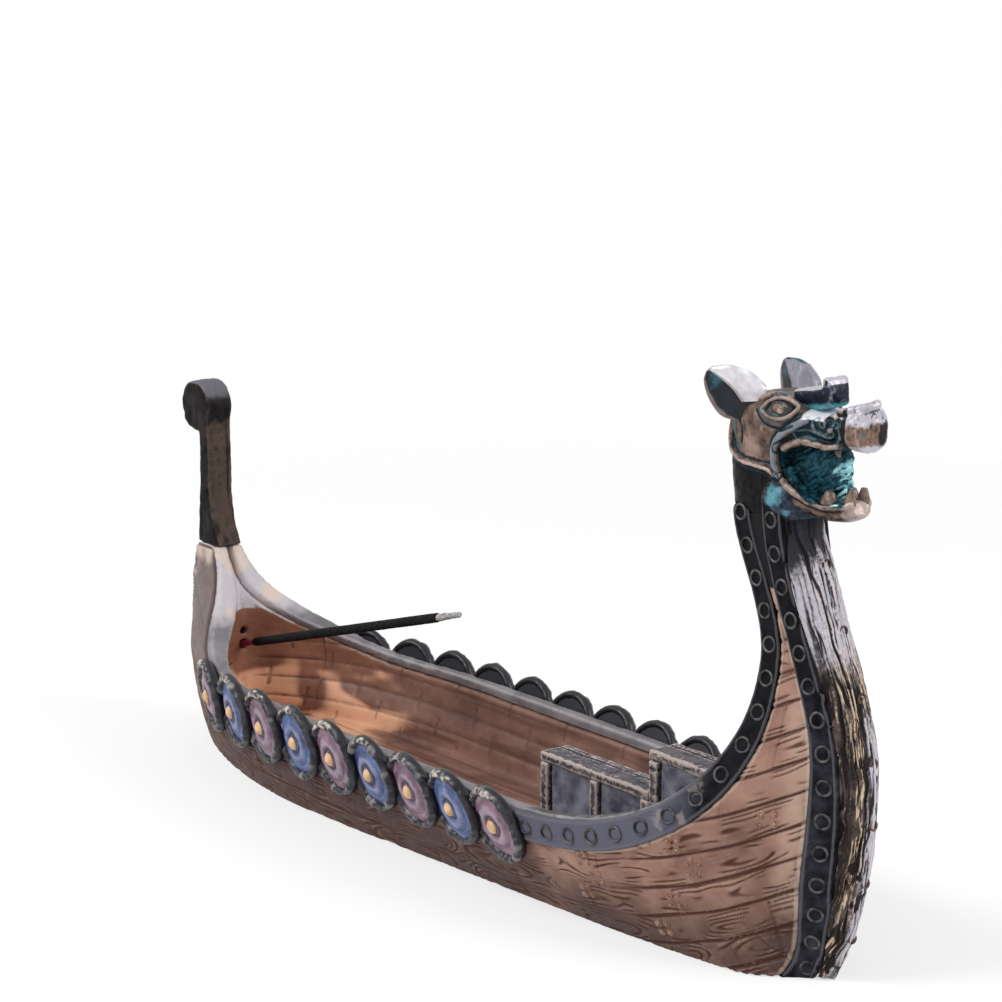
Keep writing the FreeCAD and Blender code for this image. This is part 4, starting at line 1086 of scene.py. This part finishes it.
postPaint = finish("charcoal_post", [(14, 13, 14), (38, 34, 35)], 4, [
    ("wear", 0.15, 0.7, (112, 94, 84), 1.8, 0.6, 0.5),
    ("brush", 0.6, 1.1, (106, 88, 78), 1.6, 1.0, 0.45),
    ("groove", 0.3, 0.9, (20, 18, 20), 1.4, 0.5, 0.8),
    ("curl", 0.35, 1.0, (140, 138, 146), 2.0, 0.7, 0.45),
], rough=(0.4, 0.62), shine=0.06)


def postRelief(points, normals):
    x, y, z = points.T
    stroke = ease(0.1, 0.7, grain(at(x / 1.0, y / 1.0, z / 8), 1.0, 111))
    curl = ease(73, 79, z) * ease(-0.1, 0.6, normals[:, 2])
    return -0.16 * stroke + 0.1 * layered(points, 2.5, 2, 112), {
        "groove": stroke, "curl": curl, "brush": ease(0.3, 0.8, normals[:, 0]) * ease(75, 70, z)}


post = remeshed("curled_stern_post", nodeMesh("stern_post"), 0.3, 9, 0.06, 1.4, 6, postRelief)
place(post, "ship", "charcoal_post", postPaint, "stern_post")
print("stern post made")

# Dragon head, swept forms joined into one carved skin

# A form along a path, with half widths and half heights. A box above 2 squares its section.
def sweptForm(path, wide, high, count=40, ring=28, level=(0.0, 1.0, 0.0), box=2.0):
    path = np.asarray(path, float)
    run = np.concatenate([[0], np.cumsum(np.linalg.norm(np.diff(path, axis=0), axis=1))])
    chain = rounded(path, count)
    share = np.linspace(0, run[-1], count)
    along = unit(np.gradient(chain, axis=0))
    level = np.asarray(level)
    side = unit(level - (along * level).sum(1, keepdims=True) * along)
    up = np.cross(along, side)
    w = np.interp(share, run, np.broadcast_to(wide, len(path)))[:, None, None]
    h = np.interp(share, run, np.broadcast_to(high, len(path)))[:, None, None]
    turn = np.linspace(0, 2 * math.pi, ring, endpoint=False)[None, :, None]
    c = np.sign(np.cos(turn)) * np.abs(np.cos(turn)) ** (2 / box)
    s = np.sign(np.sin(turn)) * np.abs(np.sin(turn)) ** (2 / box)
    return chain[:, None] + side[:, None] * w * c + up[:, None] * h * s


def cord(path, radius, count=40):
    return sweptForm(path, radius, radius, count, 12, (0.31, 0.87, 0.39))


def blob(centre, radii):
    rise = np.linspace(-math.pi / 2 + 0.05, math.pi / 2 - 0.05, 18)[:, None]
    turn = np.linspace(0, 2 * math.pi, 24, endpoint=False)[None]
    ball = at(np.cos(rise) * np.cos(turn), np.cos(rise) * np.sin(turn), np.sin(rise))
    return np.asarray(centre) + ball * np.asarray(radii)


def bothSides(forms):
    return forms + [form * [1, -1, 1] for form in forms]


def joinedForms(name, forms):
    points, faces, start = [], [], 0
    for form in forms:
        rows, cols = form.shape[:2]
        faces += tubeFaces(rows, cols, False, start)
        start += rows * cols
        points.append(form.reshape(-1, 3))
    piece = meshPiece(name, np.concatenate(points), faces)
    mesh = piece.data
    bpy.data.objects.remove(piece)
    return mesh


def toLine(points, line, count=60):  # distance in the side view
    chain = rounded(line, count)
    spot = points[:, [0, 2]]
    return np.min([np.hypot(spot[:, 0] - a, spot[:, 1] - b) for a, b in chain], axis=0)


headParts = {  # x, z, half width and half height along each form
    "skull": [
        (77.4, 96.4, 4.0, 3.9), (79.8, 97.6, 5.4, 5.4), (84.5, 99.0, 6.4, 6.4), (88, 100.0, 6.7, 6.2),
        (92, 100.9, 6.3, 4.8), (96, 100.9, 5.5, 3.2), (100, 100.8, 4.9, 2.8), (103.5, 101.2, 4.5, 3.1),
        (106.4, 101.7, 4.2, 3.8), (108.8, 101.9, 4.0, 4.1),
    ],
    "jaw": [
        (86, 91.6, 5.2, 3.0), (90, 89.8, 5.3, 2.8), (94, 88.0, 4.8, 2.3), (98, 86.9, 4.1, 2.0),
        (102, 86.5, 3.5, 1.9), (105, 87.0, 2.9, 1.8), (106.8, 87.8, 2.1, 1.4),
    ],
    "crest": [
        (91.4, 104.8, 2.5, 1.9), (93.4, 105.1, 2.8, 2.1), (96.4, 105.6, 2.8, 2.1), (99.0, 106.2, 2.6, 2.0),
        (100.4, 106.6, 2.4, 1.9),
    ],
    "neck": [
        (87.3, 83.0, 5.2, 8.7), (86.9, 85.5, 5.75, 9.2), (85.8, 88.0, 5.7, 9.1), (84.4, 91.0, 5.6, 7.8),
        (83.2, 94.5, 5.4, 6.7), (83.0, 97.5, 4.8, 5.2),
    ],
    "web": [(87.5, 94.0, 2.6, 5.0), (94, 93.8, 2.3, 5.4), (99, 93.4, 1.9, 5.2), (103.4, 93.4, 1.3, 4.9)],
}
headLines = {  # x, y and z along the raised lines of the starboard side
    "upperFold": [
        (98.0, -5.0, 102.6), (96.6, -5.4, 101.8), (94.5, -5.8, 100.6), (92.4, -6.0, 99.1), (91.0, -6.0, 97.3),
        (90.5, -5.8, 95.6), (90.5, -5.6, 93.6), (91.2, -5.4, 91.8),
    ],
    "lowerFold": [
        (91.0, -5.4, 92.0), (93.1, -5.0, 90.0), (95.6, -4.6, 88.7), (98.2, -4.1, 87.9), (101.5, -3.6, 87.5),
        (104.6, -2.9, 87.9), (106.6, -1.7, 88.6),
    ],
    "lidTop": [
        (87.4, -6.2, 103.0), (89.4, -6.0, 104.9), (92, -5.7, 105.7), (94.4, -5.3, 105.4), (96.0, -5.0, 104.6),
    ],
    "lidLow": [
        (87.4, -6.2, 103.0), (89.6, -6.5, 102.1), (92.3, -6.3, 102.0), (94.6, -5.8, 103.0),
        (96.0, -5.1, 104.6),
    ],
    "brow": [(85.6, -5.0, 104.2), (88, -5.0, 105.5), (90.8, -4.7, 106.0), (93.4, -4.0, 105.6)],
    "lip": [
        (91.8, -5.2, 96.6), (94.4, -5.1, 97.9), (97, -4.9, 98.6), (99.8, -4.6, 98.5), (102.6, -4.3, 98.3),
        (105.0, -4.0, 98.6),
    ],
    "collar": [
        (77.4, -3.9, 99.4), (77.6, -4.6, 96.6), (78.8, -5.2, 94.2), (81.6, -5.6, 92.9), (85.2, -5.7, 92.6),
        (88.4, -5.7, 92.4), (90.6, -5.4, 91.4),
    ],
    "wing": [(103.2 + 1.4 * math.cos(a), -4.4 + 0.25 * math.sin(a), 102.7 + 1.25 * math.sin(a))
             for a in np.linspace(0.6, 5.9, 14)],
    "nostril": [(108.6, -1.8 + 0.85 * math.cos(a), 101.9 + 1.0 * math.sin(a))
                for a in np.linspace(0.2, 6.0, 14)],
    "noseFlap": [(103.6, -3.2, 104.4), (106.4, -2.6, 105.2), (108.8, -0.8, 106.0), (109.0, 1.4, 106.3)],
}
cordRadii = {
    "upperFold": 0.8, "lidTop": 0.42, "lidLow": 0.42, "brow": 0.6, "lip": 0.75, "collar": 0.48, "wing": 0.42,
    "nostril": 0.3,
}
headCuts = {  # x and z along the lines that are cut into the sides
    "cheek": [(85.8, 102.8), (88.6, 100.7), (92.4, 100.2), (95.4, 101.2)],
    "wave": [(95.6, 99.6), (98.2, 100.2), (100.6, 99.6), (103.0, 99.4), (104.4, 100.4), (104.2, 102.4)],
    "curl": [(99.4, 102.4), (100.4, 101.2), (102.0, 101.2), (102.8, 102.6)],
    "nose": [(105.6, 105.4), (105.9, 102), (105.6, 98.6)],
    "temple": [(81.4, 103.0), (81.0, 100.6), (82.0, 98.4), (81.4, 96.2)],
    "earRoot": [(82.6, 103.6), (80.2, 101.0), (79.2, 98.0), (79.8, 95.2)],
}
cheekPlace = {"centre": (85.2, -2.6, 97), "radii": (6.2, 3.6, 4.4)}
throatPlace = {"centre": (91.0, -3.7, 86.8), "radii": (3.6, 2.4, 3.8)}
headSkin = (0.22, 2, 0.05, 1.0)  # cell, passes, roughness and its size
headSpots = {"drip": (93.2, 85.4), "spill": (90.6, 87.9), "pit": (-2.2, 101.0), "blush": (84.6, 95.6)}
headTones = {  # where each comes in, from none to full: fore and aft, up and down, in and out
    "mouthIn": (5.3, 4.6), "mouthFore": (89.4, 90.4), "mouthDown": (98.8, 97.8), "mouthUp": (87.4, 88.4),
    "mouthAft": (106.0, 105.0), "throatFore": (91, 92.5), "throatDown": (91, 89), "patchDown": (91.4, 90.4),
    "noseFore": (105.6, 106.8), "noseUp": (96.5, 97.5), "pitFore": (107.2, 108.0), "cracksUp": (100.6, 102.4),
    "frontFore": (100.2, 103.2), "frontDown": (97.4, 94.4), "darkDown": (93.0, 92.0), "snoutOut": (3.0, 3.8),
    "snoutFore": (95.4, 97.0), "snoutAft": (106.0, 105.2), "snoutUp": (98.9, 99.7), "noseShadeSide": (0.6, 2.6),
    "noseShadeDown": (103.4, 102.4), "gleamFore": (95.6, 96.8), "gleamAft": (103.4, 102.4),
    "gleamUp": (102.2, 103.0), "silverFore": (102.6, 104.6), "silverUp": (102.6, 104), "rimDown": (99.8, 98.4),
    "rimUp": (101.4, 103.6), "waveOut": (2.8, 3.6), "waveUp": (98.6, 99.2), "seamOut": (4.4, 5.0),
    "seamDown": (93.6, 92.6), "foldOut": (4.6, 5.2), "tipFore": (103.2, 106.2), "tipDown": (92, 90),
}


def pathOf(key):
    rows = np.array(headParts[key], float)
    return at(rows[:, 0], 0, rows[:, 1]), rows[:, 2], rows[:, 3]


def headRelief(points, normals, upper=1.0):  # upper is 1 on the skull and 0 on the jaw
    t = headTones
    x, y, z = points.T
    out = np.abs(y)
    toCut = lambda key: toLine(points, headCuts[key])
    toFold = lambda key: toLine(points, np.array(headLines[key])[:, [0, 2]])
    waves = np.minimum(toCut("wave"), toCut("curl"))
    lines = np.min([waves] + [toCut(key) for key in ("cheek", "nose", "temple")], axis=0)
    cut = bell(lines, 0.36) * ease(-0.5, 0.1, np.abs(normals[:, 1]))
    groove = np.max([bell(toFold(key) - 1.0, 0.28) for key in ("upperFold", "lip", "collar")], axis=0)
    fromSpot = lambda key, wide, high: np.hypot(
        (x - headSpots[key][0]) / wide, (z - headSpots[key][1]) / high)
    mouth = ease(*t["mouthIn"], out) * ease(*t["mouthFore"], x) * ease(*t["mouthDown"], z)
    mouth = mouth * ease(*t["mouthUp"], z) * ease(*t["mouthAft"], x)
    centre, radii = throatPlace["centre"], throatPlace["radii"]
    throat = ease(1.25, 0.7, np.hypot((x - centre[0]) / radii[0], (z - centre[2]) / radii[2]))
    below = ease(*t["throatFore"], x) * ease(*t["throatDown"], z) * (1 - mouth)
    throat = upper * np.maximum(throat, below)
    ragged = 0.35 * layered(points, 1.6, 3, 124)
    spill = np.minimum(fromSpot("spill", 2.6, 2.2), fromSpot("drip", 2.6, 1.6) + 0.5)
    lids = bell(np.minimum(toFold("lidTop"), toFold("lidLow")) - 0.6, 0.3)
    nose = ease(*t["noseFore"], x) * ease(*t["noseUp"], z)
    across, level = headSpots["pit"]
    pit = bell(np.hypot(y - across, (z - level) * 1.2), 0.75) * ease(*t["pitFore"], x)
    cracks = nose * bell(layered(points / [1.2, 0.6, 1.8], 1.5, 3, 123), 0.12) * ease(*t["cracksUp"], z)
    streak = layered(at(x / 3, y / 1.2, (z - 0.6 * x) / 0.8), 1.0, 2, 125)
    hair = layered(at(x / 5, y, (z - 0.5 * x) / 0.4), 1.0, 2, 127)
    front = mouth * ease(*t["frontFore"], x + 1.8 * streak) * ease(*t["frontDown"], z + streak)
    snout = ease(*t["snoutFore"], x) * ease(*t["snoutAft"], x)
    snout = snout * ease(*t["snoutUp"], z) * ease(*t["snoutOut"], out)
    # the port side of the nose takes the dark snout colour as painted shade
    snout = np.maximum(snout, nose * ease(*t["noseShadeSide"], y + ragged) * ease(*t["noseShadeDown"], z))
    teal = 0.7 * lids + 0.45 * cut + 0.8 * pit + 0.7 * bell(toCut("earRoot"), 0.9)
    gleam = ease(0.2, 0.6, normals[:, 2]) * ease(*t["gleamFore"], x) * ease(*t["gleamAft"], x)
    # painted highlight on the upward faces at the front top of the nose, plus silver paint on the top and foot
    # of the nose
    silverAndHighlight = ease(0.25, 0.7, normals[:, 2]) * ease(*t["silverFore"], x) * ease(*t["silverUp"], z)
    silverAndHighlight = silverAndHighlight + nose * (ease(*t["rimDown"], z + ragged) + ease(*t["rimUp"], z + 1.4 * ragged))
    marks = {
        "groove": np.max([cut, 0.8 * groove, 0.7 * cracks], axis=0),
        "mouth": mouth,
        "front": front * ease(-0.7, 0.3, hair),
        "teal": np.clip(teal, 0, 1),
        "throat": throat,
        "patch": upper * ease(1.4, 0.2, spill + ragged) * ease(*t["patchDown"], z),
        "dark": upper * ease(*t["darkDown"], z) * (1 - mouth) * (1 - throat),
        "snout": snout,
        "wave": bell(waves - 0.6, 0.24) * ease(*t["waveOut"], out) * ease(*t["waveUp"], z),
        "seam": bell(toFold("collar"), 0.5) * ease(*t["seamOut"], out) * ease(*t["seamDown"], z),
        "fold": bell(toFold("upperFold"), 0.75) * ease(*t["foldOut"], out),
        "blush": bell(fromSpot("blush", 1, 1), 3.2),
        # under: painted shade on the jaw's downward faces
        "under": (1 - upper) * ease(-0.1, -0.6, normals[:, 2]),
        "tip": ease(*t["tipFore"], x) * ease(*t["tipDown"], z),
        "gleam": gleam * ease(*t["gleamUp"], z),
        "silverAndHighlight": np.clip(silverAndHighlight, 0, 1),
        "nose": nose,
    }
    relief = -0.34 * cut - 0.12 * groove - 0.1 * cracks
    return relief + 0.07 * layered(points, 1.6, 2, 121) + 0.3 * mouth * streak, marks


headPaint = finish("aged_bronze_head", [(54, 44, 40), (116, 94, 82)], 1.8, [
    ("blush", 0.2, 0.9, (166, 138, 126), 1.4, 0.8, 0.65),
    ("nose", 0.4, 0.9, (136, 112, 98), 1.4, 1.0, 0.7),
    ("nose", 0.8, 1.3, (52, 40, 36), 1.0, 1.4, 0.7),
    # dark snout paint, also laid on the port side of the nose as painted shade
    ("snout", 0.25, 0.8, (18, 21, 25), 1.4, 0.6, 0.92),
    # painted shade under the jaw
    ("under", 0.3, 0.9, (30, 30, 35), 1.2, 0.6, 0.8),
    ("tip", 0.4, 1.0, (188, 172, 166), 0.9, 1.0, 0.6),
    ("wear", 0.2, 0.9, (180, 162, 154), 0.8, 0.8, 0.55),
    ("dark", 0.3, 0.8, (7, 7, 10), 1.5, 0.3),
    ("throat", 0.2, 0.8, (14, 18, 28), 1.2, 0.6, 0.9),
    ("throat", 0.7, 1.25, (64, 82, 106), 0.9, 1.0, 0.55),
    ("patch", 0.2, 1.0, (92, 150, 164), 0.7, 1.0, 0.85),
    ("seam", 0.3, 0.8, (176, 158, 152), 1.0, 0.7, 0.75),
    ("fold", 0.3, 0.8, (106, 124, 138), 1.4, 0.5, 0.75),
    ("mouth", 0.2, 0.7, (10, 34, 42), 1.5, 0.3),
    ("mouth", 0.8, 1.3, (46, 106, 124), 0.8, 1.0, 0.65),
    ("front", 0.15, 0.9, (150, 208, 214), 0.6, 0.8, 0.8),
    ("teal", 0.2, 0.9, (48, 98, 108), 1.6, 0.5, 0.8),
    # silver paint on the nose, with a painted highlight on its upward faces
    ("silverAndHighlight", 0.35, 0.9, (186, 184, 194), 0.9, 1.0, 0.8),
    ("groove", 0.25, 0.8, (14, 34, 42), 0.8, 0.4, 0.9),
    ("wear", -0.1, -0.6, (12, 30, 38), 1.0, 0.4, 0.92),
    ("gleam", 0.3, 0.8, (226, 226, 232), 0.9, 0.5, 0.9),
    ("wave", 0.3, 0.9, (62, 104, 112), 0.9, 0.8, 0.6),
], rough=(0.24, 0.46), metal=0.2, shine=0.1)
crestPaint = finish("crest_paint", [(10, 13, 22), (32, 38, 56)], 1.6, [
    ("under", 0.25, 0.9, (72, 150, 164), 0.9, 1.0, 0.8),
    # silver paint with a painted highlight on the upward faces and on top of the curl
    ("top", 0.3, 0.8, (190, 186, 194), 1.6, 0.5, 0.85),
    ("wear", 0.2, 0.8, (176, 176, 188), 0.9, 0.5, 0.75),
    ("hole", 0.3, 0.8, (14, 14, 18)),
], rough=(0.22, 0.44), metal=0.2, shine=0.15)
curlPlace = {"x": 99.5, "z": 108.9, "radius": 1.0, "half": 2.4}


def crestRelief(points, normals):
    x, y, z = points.T
    s = curlPlace
    hole = ease(0.55, 0.4, np.hypot(x - s["x"], z - s["z"]))
    hole = hole * ease(s["half"] - 0.5, s["half"] - 0.2, np.abs(y))
    # silver paint with a painted highlight on the upward faces and on top of the curl
    top = np.maximum(ease(0.35, 0.8, normals[:, 2]), ease(s["z"] - 0.6, s["z"] + 0.2, z))
    marks = {"top": top, "under": ease(105.6, 103.9, z - 0.15 * (x - 96)), "hole": hole}
    return 0.1 * layered(points, 1.6, 2, 131) - 0.4 * hole, marks


def headPiece(name, forms, reach, shape, paintOf, slot, replaced):
    mesh = joinedForms(name + "_forms", forms)
    piece = remeshed(name, mesh, *headSkin, reach, shape)
    place(piece, "ship", slot, paintOf, replaced)


def dragonHead():
    skull = [sweptForm(*pathOf("skull"), 60, 48, box=2.6), sweptForm(*pathOf("neck"), 40, 48, box=3.4)]
    skull.append(sweptForm(*pathOf("web"), 40, 36))
    cords = [cord(headLines[key], radius) for key, radius in cordRadii.items()]
    skull += bothSides(cords + [blob(**cheekPlace), blob(**throatPlace)])
    skull.append(sweptForm(headLines["noseFlap"], 0.8, 0.8, 30, 16, (0.3, 0.9, 0.3)))
    headPiece("carved_dragon_skull", skull, 14, headRelief, headPaint, "bronze_head", "dragon_skull")
    jaw = [sweptForm(*pathOf("jaw"), 50, 36, box=2.6)] + bothSides([cord(headLines["lowerFold"], 0.75)])
    jawRelief = lambda points, normals: headRelief(points, normals, 0.0)
    headPiece("carved_dragon_jaw", jaw, 14, jawRelief, headPaint, "bronze_head", "dragon_jaw")
    s = curlPlace
    curl = [(s["x"], -s["half"], s["z"]), (s["x"], 0, s["z"] + 0.1), (s["x"], s["half"], s["z"])]
    sheet = [(100.0, 0, 105.6), (100.1, 0, 107.4), (99.9, 0, s["z"])]
    crest = [sweptForm(*pathOf("crest"), 40, 40, box=4.5)]
    crest.append(sweptForm(curl, s["radius"], s["radius"], 20, 20, (1.0, 0, 0.2)))
    crest.append(sweptForm(sheet, 2.3, [1.1, 0.9, 0.7], 20, 32, box=4.5))
    headPiece("rolled_crest", crest, 8, crestRelief, crestPaint, "dark_band", "dragon_crest")


dragonHead()

ears = {  # edges of the starboard ear's cup and the lines along the back of each
    "low": [
        (80.4, -6.6, 100.0), (78.2, -7.8, 100.9), (76.2, -8.7, 103.6), (75.4, -9.2, 106.6),
        (76.0, -9.2, 108.6),
    ],
    "high": [
        (82.4, -6.2, 103.6), (81.0, -7.0, 105.6), (79.2, -7.9, 107.2), (77.6, -8.7, 108.3),
        (76.4, -9.1, 108.9),
    ],
    "starboard": [
        (86.0, -3.6, 103.6), (85.6, -4.4, 106.2), (83.2, -5.4, 108.3), (80.0, -7.0, 109.4),
        (77.0, -8.6, 109.2),
    ],
    "port": [
        (91.4, -3.6, 103.2), (90.4, -4.6, 106.4), (87.2, -5.6, 108.7), (82.8, -6.8, 109.9),
        (78.2, -8.2, 109.5),
    ],
    "wall": 0.7, "rows": 65, "columns": 49,
}
earPaint = finish("ear_paint", [(180, 178, 184), (224, 221, 226)], 2.5, [
    # painted shade: the port ear darker all over, the starboard ear a little darker in patches towards its low
    # edge
    ("earShade", 0.3, 0.9, (112, 110, 126), 1.4, 1.0, 0.85),
    ("hollow", 0.2, 0.8, (7, 18, 25), 1.6, 0.5, 0.97),
    ("sheen", 0.2, 0.9, (66, 116, 138), 1.4, 0.9, 0.85),
    ("rim", 0.4, 0.9, (138, 124, 120), 1.2, 0.6, 0.75),
], rough=(0.24, 0.46), metal=0.2, shine=0.12)


def dragonEar(name, side):
    low, high, back = (rounded(ears[key], ears["rows"]) for key in ("low", "high", name))
    control = 2 * back - (low + high) / 2
    v = np.linspace(0, 1, ears["columns"])[None, :, None]
    cup = (1 - v) ** 2 * low[:, None] + 2 * v * (1 - v) * control[:, None] + v ** 2 * high[:, None]
    normal = unit(np.cross(np.gradient(cup, axis=0), np.gradient(cup, axis=1)))
    normal = normal * np.sign((normal[30, 24] * (back - (low + high) / 2)[30]).sum())
    u = np.linspace(0, 1, ears["rows"])[:, None]
    v = v[..., 0]
    edge = np.minimum(v, 1 - v)
    wall = ears["wall"] * (0.5 + 0.5 * ease(0, 0.15, edge)) * (1 - 0.5 * u)
    outside = cup + normal * (wall + 0.1 * layered(cup, 2, 2, 141))[..., None]
    flip = np.array([1, -side, 1])
    flat = 0 * u * v
    rim = ease(0.06, 0.0, edge) + ease(0.93, 1.0, u) + flat
    # painted shade: the port ear darker all over, the starboard ear a little darker towards its low edge
    earShade = flat + (0.85 if side > 0 else 0.25 * ease(0.45, 0.2, v))
    marks = {"hollow": flat, "rim": rim, "sheen": flat, "earShade": earShade}
    shell = closedSkin(name + "_cupped_ear", outside * flip, cup * flip, marks, 1)
    inside = shell.data.attributes["hollow"]
    sheen = shell.data.attributes["sheen"]
    count = outside.shape[0] * outside.shape[1]
    for k in range(count, len(inside.data)):
        inside.data[k].value = 1.0
    light = bell(u - 0.74, 0.2) * bell(v - 0.34, 0.3) + bell(u - 0.25, 0.1) * bell(v - 0.4, 0.14)
    for k, share in enumerate(light.ravel()):
        sheen.data[count + k].value = float(share)
    shell.data.polygons.foreach_set("use_smooth", np.ones(len(shell.data.polygons), bool))
    return shell


for name, side in sides.items():
    place(dragonEar(name, side), "ship", "bronze_head", earPaint, name + "_ear")

eyePlace = {"centre": (91.9, -5.3, 103.8), "radii": (2.9, 1.5, 1.5)}
eyePaint = finish("eye_paint", [(92, 72, 62), (128, 102, 90)], 1.2, [
    ("glint", 0.3, 0.9, (190, 160, 148), 0.8, 0.6, 0.7),
    ("pupil", 0.4, 0.9, (18, 36, 44), 0.6, 0.4, 0.85),
], rough=(0.15, 0.3))
toothPaint = finish("tooth_paint", [(58, 48, 44), (132, 110, 98)], 1.4, [
    ("wear", -0.1, -0.5, (20, 44, 50), 0.8, 0.3, 0.8),
], rough=(0.25, 0.4), metal=0.2)


def eyeRelief(points, normals):
    x, z = points[:, 0], points[:, 2]
    ring = np.hypot((x - 92.0) / 1.5, z - 103.8)
    marks = {"pupil": ease(0.85, 1.05, ring), "glint": bell(np.hypot(x - 92.6, z - 103.4), 0.8)}
    return -0.16 * bell(ring - 1.05, 0.2), marks


eyeForms = bothSides([blob(**eyePlace)])
piece = remeshed("almond_eyes", joinedForms("eye_forms", eyeForms), 0.16, 2, 0.02, 0.8, 6, eyeRelief)
place(piece, "ship", "cream_boss", eyePaint, "dragon_eyes")
fangs = [  # foot, tip and half width
    ((101.2, -2.8, 87.4), (101.6, -2.6, 90.2), 1.7),
    ((105.4, -1.7, 87.8), (105.7, -1.5, 91.0), 1.3),
    ((104.2, -3.7, 98.6), (104.4, -3.5, 96.8), 0.7),
]


def fangForm(foot, tip, half):
    path = [foot, (np.array(foot) + tip) / 2, tip]
    wide, high = half * np.array([1, 0.95, 0.5]), half * np.array([0.7, 0.7, 0.4])
    return sweptForm(path, wide, high, 16, 14, (1, 0, 0))


fangForms = bothSides([fangForm(*fang) for fang in fangs])
piece = remeshed("fangs", joinedForms("fang_forms", fangForms), 0.14, 2, 0.03, 0.8, 4)
place(piece, "ship", "cream_boss", toothPaint, "dragon_teeth")
print("dragon head made")

# Incense stick

stickPaint = finish("incense_paste_skin", [(15, 15, 17), (30, 28, 28)], 1.2, (), rough=(0.7, 0.9),
                    bump=(0.08, 0.35), shine=0.1)
bambooPaint = finish("dyed_bamboo_skin", [(120, 28, 62), (168, 52, 92)], 2.0, (), rough=(0.5, 0.7))
ashPaint = finish("ash_skin", [(120, 118, 116), (178, 176, 172)], 0.9, (), rough=(0.85, 0.95),
                  bump=(0.2, 0.4))
stickPieces = [  # piece, paint, slot, cell, roughness in mm
    ("stick_core", bambooPaint, "dyed_bamboo", 0.24, 0.02),
    ("incense_coat", stickPaint, "incense_paste", 0.22, 0.03),
    ("ash_tip", ashPaint, "ash", 0.16, 0.12),
]
for piece, paintOf, slot, cell, rough in stickPieces:
    made = remeshed("rolled_" + piece, nodeMesh(piece), cell, 2, rough, 0.8, 4)
    place(made, "incense_stick", slot, paintOf, piece)
print("stick made")

# Floor, light and camera

studio = {
    "floorRadius": 1.4, "floorSides": 96, "floorColour": (0.93, 0.93, 0.93, 1), "floorRough": 0.8,
    "floorWhite": 0.6, "fadeFrom": 0.2, "fadeTo": 0.5, "worldLight": 0.5,
}


def seenShare(tree, most):  # most for what the camera, gloss and glass see, else nothing
    joined = lambda a, b, how: wire(tree, "ShaderNodeMath", {0: a, 1: b}, operation=how).outputs[0]
    path = wire(tree, "ShaderNodeLightPath")
    seen = joined(path.outputs["Is Camera Ray"], path.outputs["Is Glossy Ray"], "MAXIMUM")
    seen = joined(seen, path.outputs["Is Transmission Ray"], "MAXIMUM")
    return joined(seen, most, "MULTIPLY")


def studioFloor():
    sideCount = studio["floorSides"]
    turn = np.linspace(0, 2 * math.pi, sideCount, endpoint=False)
    ring = at(np.cos(turn), np.sin(turn), 0) * studio["floorRadius"] / mm
    floor = meshPiece("floor", ring, [list(range(sideCount))])
    pale = bpy.data.materials.new("pale_floor")
    pale.use_nodes = True
    tree = pale.node_tree
    where = wire(tree, "ShaderNodeTexCoord").outputs["Object"]
    far = wire(tree, "ShaderNodeVectorMath", {0: where}, operation="LENGTH")
    span = {"Value": far.outputs["Value"], "From Min": studio["fadeFrom"], "From Max": studio["fadeTo"]}
    fade = wire(tree, "ShaderNodeMapRange", span, interpolation_type="SMOOTHSTEP")
    shader = tree.nodes["Principled BSDF"]
    shader.inputs["Base Color"].default_value = studio["floorColour"]
    shader.inputs["Roughness"].default_value = studio["floorRough"]
    white = wire(tree, "ShaderNodeEmission", {"Color": (1, 1, 1, 1), "Strength": 1.0})
    seenFloor = wire(tree, "ShaderNodeMixShader", {
        0: seenShare(tree, studio["floorWhite"]), 1: shader.outputs[0], 2: white.outputs[0]})
    clear = wire(tree, "ShaderNodeBsdfTransparent")
    mix = wire(tree, "ShaderNodeMixShader", {
        0: fade.outputs[0], 1: seenFloor.outputs[0], 2: clear.outputs[0]})
    tree.links.new(mix.outputs[0], tree.nodes["Material Output"].inputs["Surface"])
    floor.data.materials.append(pale)
    return floor


def studioWorld():
    world = bpy.data.worlds.new("studio")
    scene.world = world
    world.use_nodes = True
    tree = world.node_tree
    back = tree.nodes["Background"]
    back.inputs["Color"].default_value = (1, 1, 1, 1)
    span = {"Value": seenShare(tree, 1.0), "To Min": studio["worldLight"], "To Max": 1.0}
    level = wire(tree, "ShaderNodeMapRange", span)
    tree.links.new(level.outputs[0], back.inputs["Strength"])


def lamp(name, spot, aim, size, power):
    light = bpy.data.lights.new(name, "AREA")
    light.size = size
    light.energy = power
    piece = bpy.data.objects.new(name, light)
    piece.location = spot
    piece.rotation_euler = (Vector(aim) - Vector(spot)).to_track_quat("-Z", "Y").to_euler()
    scene.collection.objects.link(piece)
    return piece


floor = studioFloor()
studioWorld()
lampPlaces = {  # where each stands and aims, its size and its power
    "key": ((-0.25, -0.75, 0.75), (0, 0, 0.04), 0.6, 9.0),
    "rim": ((0.75, 0.35, 0.45), (0.03, 0, 0.05), 0.4, 5.0),
}
lamps = [lamp(key, *values) for key, values in lampPlaces.items()]

view = {
    "azimuth": 52.383, "elevation": 12.367, "distance": 610.36, "target": (7.65, 0, 72.01), "lens": 110.22,
    "shift": (-0.0110, -0.0009),
}
azimuth, elevation = math.radians(view["azimuth"]), math.radians(view["elevation"])
level = math.cos(elevation)
back = Vector((math.sin(azimuth) * level, -math.cos(azimuth) * level, math.sin(elevation)))
camera = bpy.data.objects.new("camera", bpy.data.cameras.new("camera"))
camera.location = (Vector(view["target"]) + back * view["distance"]) * mm
camera.rotation_euler = (-back).to_track_quat("-Z", "Y").to_euler()
camera.data.lens = view["lens"]
camera.data.sensor_width = 36
camera.data.shift_x, camera.data.shift_y = view["shift"]
camera.data.clip_start = 0.01
scene.collection.objects.link(camera)
scene.camera = camera
scene.view_settings.view_transform = "Standard"
print("studio ready")
